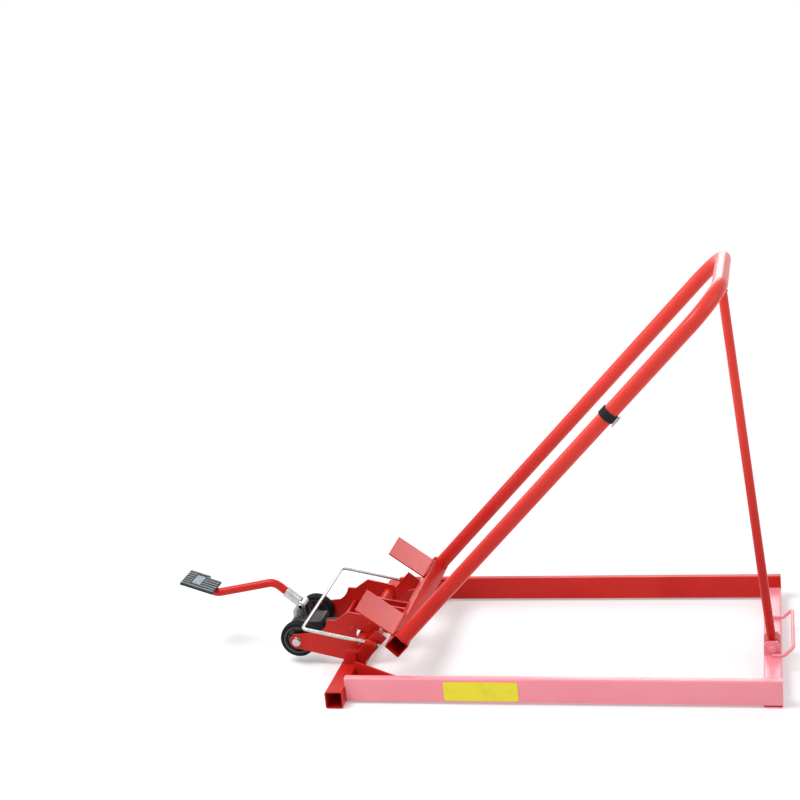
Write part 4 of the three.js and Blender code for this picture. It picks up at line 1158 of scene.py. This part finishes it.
rib_tree, given, add = new_tree("wheel_ribs", {"Rib length": 0.019, "Rib thickness": 0.0016,
                                               "Rib width": 0.018})
size = add("ShaderNodeCombineXYZ", {"X": given["Rib length"], "Y": given["Rib width"],
                                    "Z": given["Rib thickness"]})
cube = add("GeometryNodeMeshCube", {"Size": size})
normal = add("GeometryNodeInputNormal")
face_out = add("FunctionNodeAlignRotationToVector", {"Vector": normal}, axis="X")
spread = add("GeometryNodeInstanceOnPoints", {"Points": given["Geometry"], "Instance": cube,
                                              "Rotation": face_out})
finish_tree(rib_tree, given, add, spread)
print("rib tree:", len(rib_tree.nodes), "nodes")

# %% Ribs in both hubs
RIBS, RIB_CIRCLE = 8, 0.0245
turns = [2 * pi * (k + 0.5) / RIBS for k in range(RIBS)]
around = [Vector((cos(angle), 0, sin(angle))) * RIB_CIRCLE for angle in turns]
ring_edges = [(k, (k + 1) % RIBS) for k in range(RIBS)]
for side in SIDES:
    ribs = grow(side + "_hub_ribs", rib_tree, around, ring_edges, HUB_PLASTIC)
    ribs.data.transform(Matrix.Translation(place_of(side + "_wheel_spin")))
    wear(ribs, side + "_wheel", "wheel_plastic")
    print(ribs.name, len(ribs.data.polygons), "faces")

# %% [markdown]
# ## The hydraulic body
#
# Pump block and cylinder are one black casting on the real jack. Here the block is a box with well
# rounded edges, and the cylinder and the pump boss are turned. They overlap inside one mesh, which
# reads as one casting once it is shaded. The block is bored so that the ram has room in it. Two plated
# brackets on it carry the pedal's pin.

# %% A rounded block and a bore
def block(low, high, edge):
    """Vertices and faces of a box with rounded edges."""
    bm = bmesh.new()
    bmesh.ops.create_cube(bm, size=1.0)
    centre, span = (low + high) / 2, high - low
    for v in bm.verts:
        v.co = centre + v.co * span
    bmesh.ops.bevel(bm, geom=list(bm.edges), offset=edge, segments=4, profile=0.5, affect="EDGES")
    verts = [v.co.copy() for v in bm.verts]
    faces = [tuple(v.index for v in f.verts) for f in bm.faces]
    bm.free()
    return verts, faces


def bored(solid, drill):
    """A shape with another taken out of it; both are vertices and faces."""
    whole, tool = mesh_object("undrilled", *solid, CASTING), mesh_object("drill", *drill, CASTING)
    bore = whole.modifiers.new("bore", "BOOLEAN")
    bore.operation, bore.solver, bore.object = "DIFFERENCE", "EXACT", tool
    drilled = bpy.data.meshes.new_from_object(whole.evaluated_get(bpy.context.evaluated_depsgraph_get()))
    shape = [v.co.copy() for v in drilled.vertices], [tuple(p.vertices) for p in drilled.polygons]
    for scrap in (whole, tool):
        bpy.data.objects.remove(scrap)
    bpy.data.meshes.remove(drilled)
    return shape


print("block and bore ready")

# %% Casting
low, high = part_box("hydraulic_body")
pedal_pin, pump, ram_centre = place_of("pedal_press"), middle("pump_plunger")[0], middle("ram")[0]
block_front, block_top, ram_room = tube_left - 0.100, 0.104, 0.0124
cylinder_line = [(ram_room, -0.060), (ram_room, 0.0), (0.021, 0.0), (0.0225, -0.0015), (0.0225, -0.012),
                 (0.025, -0.0135), (0.025, -0.092), (0.0238, -0.094), (0.0238, -0.140), (ram_room, -0.140),
                 (ram_room, -0.060)]
boss_line = [(0.0074, 0.100), (0.013, 0.100), (0.013, 0.1155), (0.0115, 0.118), (0.0074, 0.118),
             (0.0074, 0.100)]
drill_end = block_front - (block_front - low.x) / 3
drill = turned(rod_profile(ram_room, drill_end, block_front + 0.010), (0, 0, ram_centre.z), X_WAY, 56)
cast = [bored(block(low, Vector((block_front, high.y, block_top)), 0.007), drill),
        turned(cylinder_line, (high.x, 0, ram_centre.z), X_WAY, 56),
        turned(boss_line, (pump.x, 0, 0), Z_WAY, 40)]
for sign in SIDES.values():
    plug = rod_profile(0.006, -0.002, 0.0015)
    cast.append(turned(plug, (low.x + 0.030, sign * 0.0395, 0.066), (0, sign, 0), 24))
body = join_pieces("cast_hydraulic_body", cast, CASTING, 40)
wear(body, "base", "cast_black", "hydraulic_body")
print("casting:", len(body.data.polygons), "faces")

# %% Pedal brackets
bracket_back, bracket_front, bracket_eye = pedal_pin.x - 0.026, pedal_pin.x + 0.014, 0.013
bracket_line = [(bracket_back, block_top + GAP), (bracket_front, block_top + GAP)]
bracket_line += arc(pedal_pin.x, pedal_pin.z, bracket_eye, 0, 160, 14) + [(bracket_back, block_top + 0.024)]
for side in SIDES:
    standing_plate(side + "_pedal_cheek", side + "_pedal_bracket",
                   [bracket_line, hole(pedal_pin.x, pedal_pin.z, 0.0063)], ZINC, "base", "zinc")
print("brackets done")

# %% Ram, plunger, bulkhead and pedal pin
low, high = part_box("ram")
ram = lathe("turned_ram", rod_profile(0.012, low.x, high.x, 0.0012), (0, 0, ram_centre.z), X_WAY, CHROME)
wear(ram, "ram", "chrome", "ram")
low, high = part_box("pump_plunger")
plunger = lathe("turned_plunger", rod_profile(0.007, low.z, high.z, 0.001), (pump.x, 0, 0), Z_WAY, CHROME)
wear(plunger, "pump", "chrome", "pump_plunger")
low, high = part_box("pedal_pin")
pin = join_pieces("turned_pedal_pin", [
    turned(rod_profile(radius, low.y, end), (pedal_pin.x, 0, pedal_pin.z), Y_WAY)
    for radius, end in ((PIN_RADIUS, high.y), (0.009, low.y + 0.004))], ZINC)
wear(pin, "base", "zinc", "pedal_pin")
low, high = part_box("jack_bulkhead")
face = [(a, (low.z + high.z) / 2 + b) for a, b in rounded(high.y - low.y, high.z - low.z, 0.002, 3)]
stand_across = set_down(Y_WAY, Z_WAY, X_WAY, ((low.x + high.x) / 2, 0, 0))
outlines = [face, hole(0, ram_centre.z, 0.0254, 40)]
bulkhead = plate("flat_bulkhead", outlines, high.x - low.x, stand_across, RED)
wear(bulkhead, "base", "red_paint", "jack_bulkhead")
print("jack pieces done")

# %% [markdown]
# ## The pedal
#
# A zinc socket on the pin holds the red arm, which rises, dips and ends under the pad. The pad is a
# steel plate with a rubber face whose ribs run lengthwise, cut short by a bare patch in the middle.
# The ribs repeat, so they come from Geometry Nodes as the wheel's did.

# %% Socket and arm
pad_slope = radians(19)
pad_centre = Vector((tube_left - 0.479, 0, 0.214))
pad_along = Vector((-cos(pad_slope), 0, sin(pad_slope)))
pad_up = Vector((sin(pad_slope), 0, cos(pad_slope)))
arm_radius, arm_bend, pad_thick, pad_long, pad_wide = 0.0125, 0.040, 0.009, 0.106, 0.104
under_pad = pad_centre - pad_up * (pad_thick / 2 + GAP + arm_radius)
crest = Vector((tube_left - 0.247, 0, 0.212))
to_crest = Vector((crest.x - pedal_pin.x, 0, crest.z - pedal_pin.z)).normalized()
arm_start, arm_dip, arm_end = 0.0225, -0.057, 0.045    # from the pin, and along the pad from its middle
arm_path = bent_path([pedal_pin + to_crest * arm_start, crest, under_pad + pad_along * arm_dip,
                      under_pad + pad_along * arm_end], arm_bend, 12)
arm = sweep("bent_pedal_arm", arm_path, arm_radius, RED, wall=0.003)
wear(arm, "pedal", "red_paint", "pedal_arm")
cup_bore, cup_radius, cup_floor, cup_end = 0.0129, 0.0163, 0.0215, 0.062
cup_line = [(0.0, 0.010), (cup_radius - 0.001, 0.010), (cup_radius, 0.011), (cup_radius, cup_end - 0.001),
            (0.0155, cup_end), (cup_bore, cup_end), (cup_bore, cup_floor), (0.0, cup_floor)]
socket = join_pieces("pedal_cup", [
    turned(cup_line, pedal_pin, to_crest, 40),
    turned(ring_profile(0.013, PIN_BORE, -0.017, 0.017, 0.001), pedal_pin, Y_WAY, 40)], ZINC)
wear(socket, "pedal", "zinc", "pedal_socket")
print("arm and socket done")

# %% Pad plate and patch
PAD_RIBS = 7
half_long, half_wide = pad_long / 2, pad_wide / 2
rib_pitch = pad_wide / PAD_RIBS
strip_start = half_long - pad_long * 0.62    # the last rib's strip is shorter than the others


def on_pad(a, y, b):
    """a along the pad, y across, b above its middle."""
    return pad_centre + pad_along * a + Vector((0, y, 0)) + pad_up * b


def rounded_corners(line, radius, steps=4):
    """An outline whose corners are all cut to a short curve of the given radius."""
    points = []
    for before, here, after in zip(line[-1:] + line[:-1], line, line[1:] + line[:1]):
        here = Vector(here)
        a, b = (here + (Vector(other) - here).normalized() * radius for other in (before, after))
        points += [a] + curve(a, here, b, steps)
    return points


def slab(name, line, b_low, b_high, edge, material):
    """A plate that lies along the pad, from an outline in pad_along and Y."""
    lie = set_down(pad_along, Y_WAY, pad_up, on_pad(0, 0, (b_low + b_high) / 2))
    return plate(name, [line], b_high - b_low, lie, material, edge)


pad_line = [(-half_long, -half_wide), (half_long, -half_wide), (half_long, half_wide),
            (strip_start, half_wide), (strip_start, half_wide - rib_pitch),
            (-half_long, half_wide - rib_pitch)]
pad = slab("pedal_pad_plate", rounded_corners(pad_line, 0.004), -pad_thick / 2, 0.0025, 0.0016, PAD_RUBBER)
wear(pad, "pedal", "pad_rubber", "pedal_pad")
patch_start, patch_end, patch_half = -0.003, 0.023, 0.030
patch_line = [(patch_start, -patch_half), (patch_end, -patch_half), (patch_end, patch_half),
              (patch_start, patch_half)]
patch = slab("pedal_pad_patch", rounded_corners(patch_line, 0.003), 0.0010, 0.0040, 0.0008, PAD_PATCH)
wear(patch, "pedal", "pad_rubber")
print("pad plate and patch done")

# %% Pad ribs
slat_tree, given, add = new_tree("pad_ribs", {"Rib width": 0.0074, "Rib height": 0.0022})
bars = add("GeometryNodeMeshToCurve", {"Mesh": given["Geometry"]})
section = add("GeometryNodeCurvePrimitiveQuadrilateral",
              {"Width": given["Rib width"], "Height": given["Rib height"]})
soft = add("GeometryNodeFilletCurve", {"Curve": section, "Count": 3, "Radius": 0.0007}, mode="POLY")
skin = add("GeometryNodeCurveToMesh", {"Curve": bars, "Profile Curve": soft, "Fill Caps": True})
finish_tree(slat_tree, given, add, skin)

RIB_END, RIB_HEIGHT = 0.002, 0.0033                       # from the pad's edge, and above its middle
BARE_START, BARE_END, BARE_HALF = -0.005, 0.025, 0.032    # the bare patch along the pad and across it
verts, edges = [], []
for k in range(PAD_RIBS):
    y = (k + 0.5) * rib_pitch - half_wide
    rib_low = (-half_long if k < PAD_RIBS - 1 else strip_start) + RIB_END
    rib_high = half_long - RIB_END
    runs = [(rib_low, BARE_START), (BARE_END, rib_high)] if abs(y) < BARE_HALF else [(rib_low, rib_high)]
    for run in runs:
        edges.append((len(verts), len(verts) + 1))
        verts += [(a, y, 0) for a in run]
pad_ribs = grow("pedal_pad_ribs", slat_tree, verts, edges, PAD_RIB)
pad_ribs.data.transform(set_down(pad_along, Y_WAY, pad_up, on_pad(0, 0, RIB_HEIGHT)))
wear(pad_ribs, "pedal", "pad_rubber")
print(pad_ribs.name, len(pad_ribs.data.polygons), "faces")

# %% [markdown]
# ## The strap and the yellow plate
#
# A flat woven strap is wound once round the near leg and closed by a small metal buckle. The yellow
# plate on the near rail is bare: only its rounded corners and its sheen are modelled.

# %% Strap band
TURNS = 64
strap_at, strap_half, strap_inner, strap_thick, strap_edge = 0.904, 0.0125, 0.0218, 0.0024, 0.0008
strap_outer = strap_inner + strap_thick
strap_centre = on_frame(strap_at, -leg_gauge)
profile = [(strap_inner, -strap_half), (strap_inner, strap_half), (strap_outer, strap_half - strap_edge),
           (strap_outer, strap_edge - strap_half)]
verts = [on_frame(strap_at + a, -leg_gauge + r * cos(2 * pi * k / TURNS), r * sin(2 * pi * k / TURNS))
         for k in range(TURNS) for r, a in profile]
band = mesh_object("woven_strap", verts, ring_faces(len(profile), TURNS, True), WEBBING)


def angle_of(point):
    """A point's angle round the leg."""
    return atan2((point - strap_centre).dot(square), (point - strap_centre).y)


layer = band.data.uv_layers.new(name="weave")
for polygon in band.data.polygons:
    face_angle = angle_of(polygon.center)
    for loop in polygon.loop_indices:
        point = band.data.vertices[band.data.loops[loop].vertex_index].co
        angle = angle_of(point)
        angle -= 2 * pi * round((angle - face_angle) / (2 * pi))
        layer.data[loop].uv = (angle * strap_outer, (point - strap_centre).dot(along))
wear(band, "lifting_frame", "webbing", "tie_strap")
print("strap:", len(band.data.polygons), "faces")

# %% Buckle and yellow plate
buckle_v = -(0.0216 + 0.003 + GAP + 0.003)    # how far the buckle lies from the leg's middle
frame_line = rounded(0.034, 0.022, 0.003, 4)
slots = [[(a + shift, b) for a, b in rounded(0.006, 0.015, 0.001, 2)] for shift in (-0.009, 0.009)]
under_leg = set_down(along, Y_WAY, square, on_frame(strap_at, -leg_gauge, buckle_v))
buckle = plate("strap_buckle_frame", [frame_line] + slots, 0.0035, under_leg, ZINC)
wear(buckle, "lifting_frame", "zinc", "strap_buckle")
standing_plate("bare_yellow_plate", "label_plate", [box_outline("label_plate", 0.004, 4)], YELLOW, "base",
               "label_yellow", edge=0.0002)
print("buckle and plate done")

# %% [markdown]
# ## Weld beads
#
# The steel pieces are welded together, and a weld is a row of overlapping ripples about two millimetres
# apart. Geometry Nodes follow the seam, set a flattened ball every step and turn it with the seam.
# One mesh for each body and paint holds all its seams.

# %% A tree that lays weld ripples
weld_tree, given, add = new_tree("weld_bead", {"Bead radius": 0.0024, "Step": 0.0021})
seams = add("GeometryNodeMeshToCurve", {"Mesh": given["Geometry"]})
steps = add("GeometryNodeResampleCurve", {"Curve": seams, "Length": given["Step"]}, mode="LENGTH")
ball = add("GeometryNodeMeshIcoSphere", {"Radius": given["Bead radius"], "Subdivisions": 2})
tangent = add("GeometryNodeInputTangent")
turn_to = add("FunctionNodeAlignRotationToVector", {"Vector": tangent}, axis="X")
ripple = add("GeometryNodeInstanceOnPoints", {"Points": steps, "Instance": ball, "Rotation": turn_to,
                                              "Scale": (0.75, 1.0, 1.0)})
finish_tree(weld_tree, given, add, add("GeometryNodeSetShadeSmooth", {"Geometry": ripple}))


def seam_mesh(name, seams, body, slot, material):
    """All the weld beads of one body and paint, from the points along each seam."""
    verts, edges = [], []
    for points in seams:
        base = len(verts)
        verts += points
        edges += [(base + k, base + k + 1) for k in range(len(points) - 1)]
    made = grow(name, weld_tree, verts, edges, material)
    wear(made, body, slot)
    print(name, len(seams), "seams,", len(made.data.polygons), "faces")


def round_seam(at, radius, angles):
    """Points round a circle; at gives the place that lies two distances square to its axis."""
    return [at(radius * cos(radians(a)), radius * sin(radians(a))) for a in angles]


# %% Seams of the lifting frame and the strut
leg_bead, strut_bead = 0.0212, 0.0128    # how far the beads' middles are from the tubes' middles
frame_seams = []
for sign in SIDES.values():
    frame_seams.append(round_seam(lambda y, v: on_frame(lift_face + 0.0004, sign * leg_gauge + y, v),
                                  leg_bead, range(0, 361, 15)))
    ends = sorted((sign * 0.142, sign * 0.280))
    for u, v in ((lift_tube / 2 - 0.0144, lift_face + GAP), (lift_face + GAP, lift_face + 0.0013)):
        frame_seams.append([on_frame(u, y, v) for y in ends])
    for y in (0.0165, 0.0255):
        frame_seams.append([on_frame(-lift_face - GAP, sign * y, v) for v in (-0.016, 0.016)])
seam_mesh("lifting_frame_welds", frame_seams, "lifting_frame", "red_paint", RED)


def under_saddle(a, y):
    """The seam round the strut's top, where the tilted saddle meets it."""
    return on_strut(a, y, strut_top + 0.0006 + strut_radius * tan(tilt) * (1 - a / strut_bead))


strut_seams = [round_seam(lambda a, y: on_strut(a, y, 0.0108), strut_bead, angles)
               for angles in (range(-50, 51, 10), range(130, 231, 10))]
strut_seams.append(round_seam(under_saddle, strut_bead, range(0, 361, 12)))
seam_mesh("prop_strut_welds", strut_seams, "prop_strut", "red_paint", RED)

# %% Seams of the base
outside = tube_right + GAP
end_tube_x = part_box("far_rail")[1].x - 0.050    # where the end tube meets the rails
half_seams = [[(outside, y, 0.009), (outside, y, 0.049)] for y in (0.370, 0.345)]
half_seams += [[(outside, 0.346, 0.0505), (outside, 0.369, 0.0505)],
               [(outside + GAP, 0.2297, 0.010), (outside + GAP, 0.2297, 0.046)]]
half_seams += [[(tube_left + 0.004, y, tube_top), (tube_right - 0.004, y, tube_top)]
               for y in (0.119, 0.125, 0.2138)]
half_seams += [[(tube_left + 0.016, 0.2305, tube_top), (tube_right - 0.002, 0.2305, tube_top)],
               [(end_tube_x, rail_inside, 0.008), (end_tube_x, rail_inside, 0.038)]]
base_seams = [[(x, sign * y, z) for x, y, z in seam] for sign in SIDES.values() for seam in half_seams]
seam_mesh("base_welds", base_seams, "base", "red_paint", RED)

pale_seams = []
for side in SIDES:
    low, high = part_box(side + "_clevis_plate")
    for y in (low.y, high.y):
        pale_seams.append([(low.x + 0.002, y, low.z), (high.x - 0.002, y, low.z)])
low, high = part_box("carry_handle")
for y in (low.y + rod, high.y - rod):
    for beside in (-0.0035, 0.0035):
        pale_seams.append([(low.x + 0.003, y + beside, low.z), (low.x + 0.022, y + beside, low.z)])
seam_mesh("end_tube_welds", pale_seams, "base", "faded_paint", PALE_LIT_RED)

# %% [markdown]
# ## Closing
#
# Any CAD node that still shows would keep its plain grey.

# %% Check, measure and finish
left = [name for name, node in frame["nodes"].items() if not node.hide_render]
print("CAD nodes that still show:", left)
low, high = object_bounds()
print("visual box:", [round(v, 3) for v in low], [round(v, 3) for v in high])
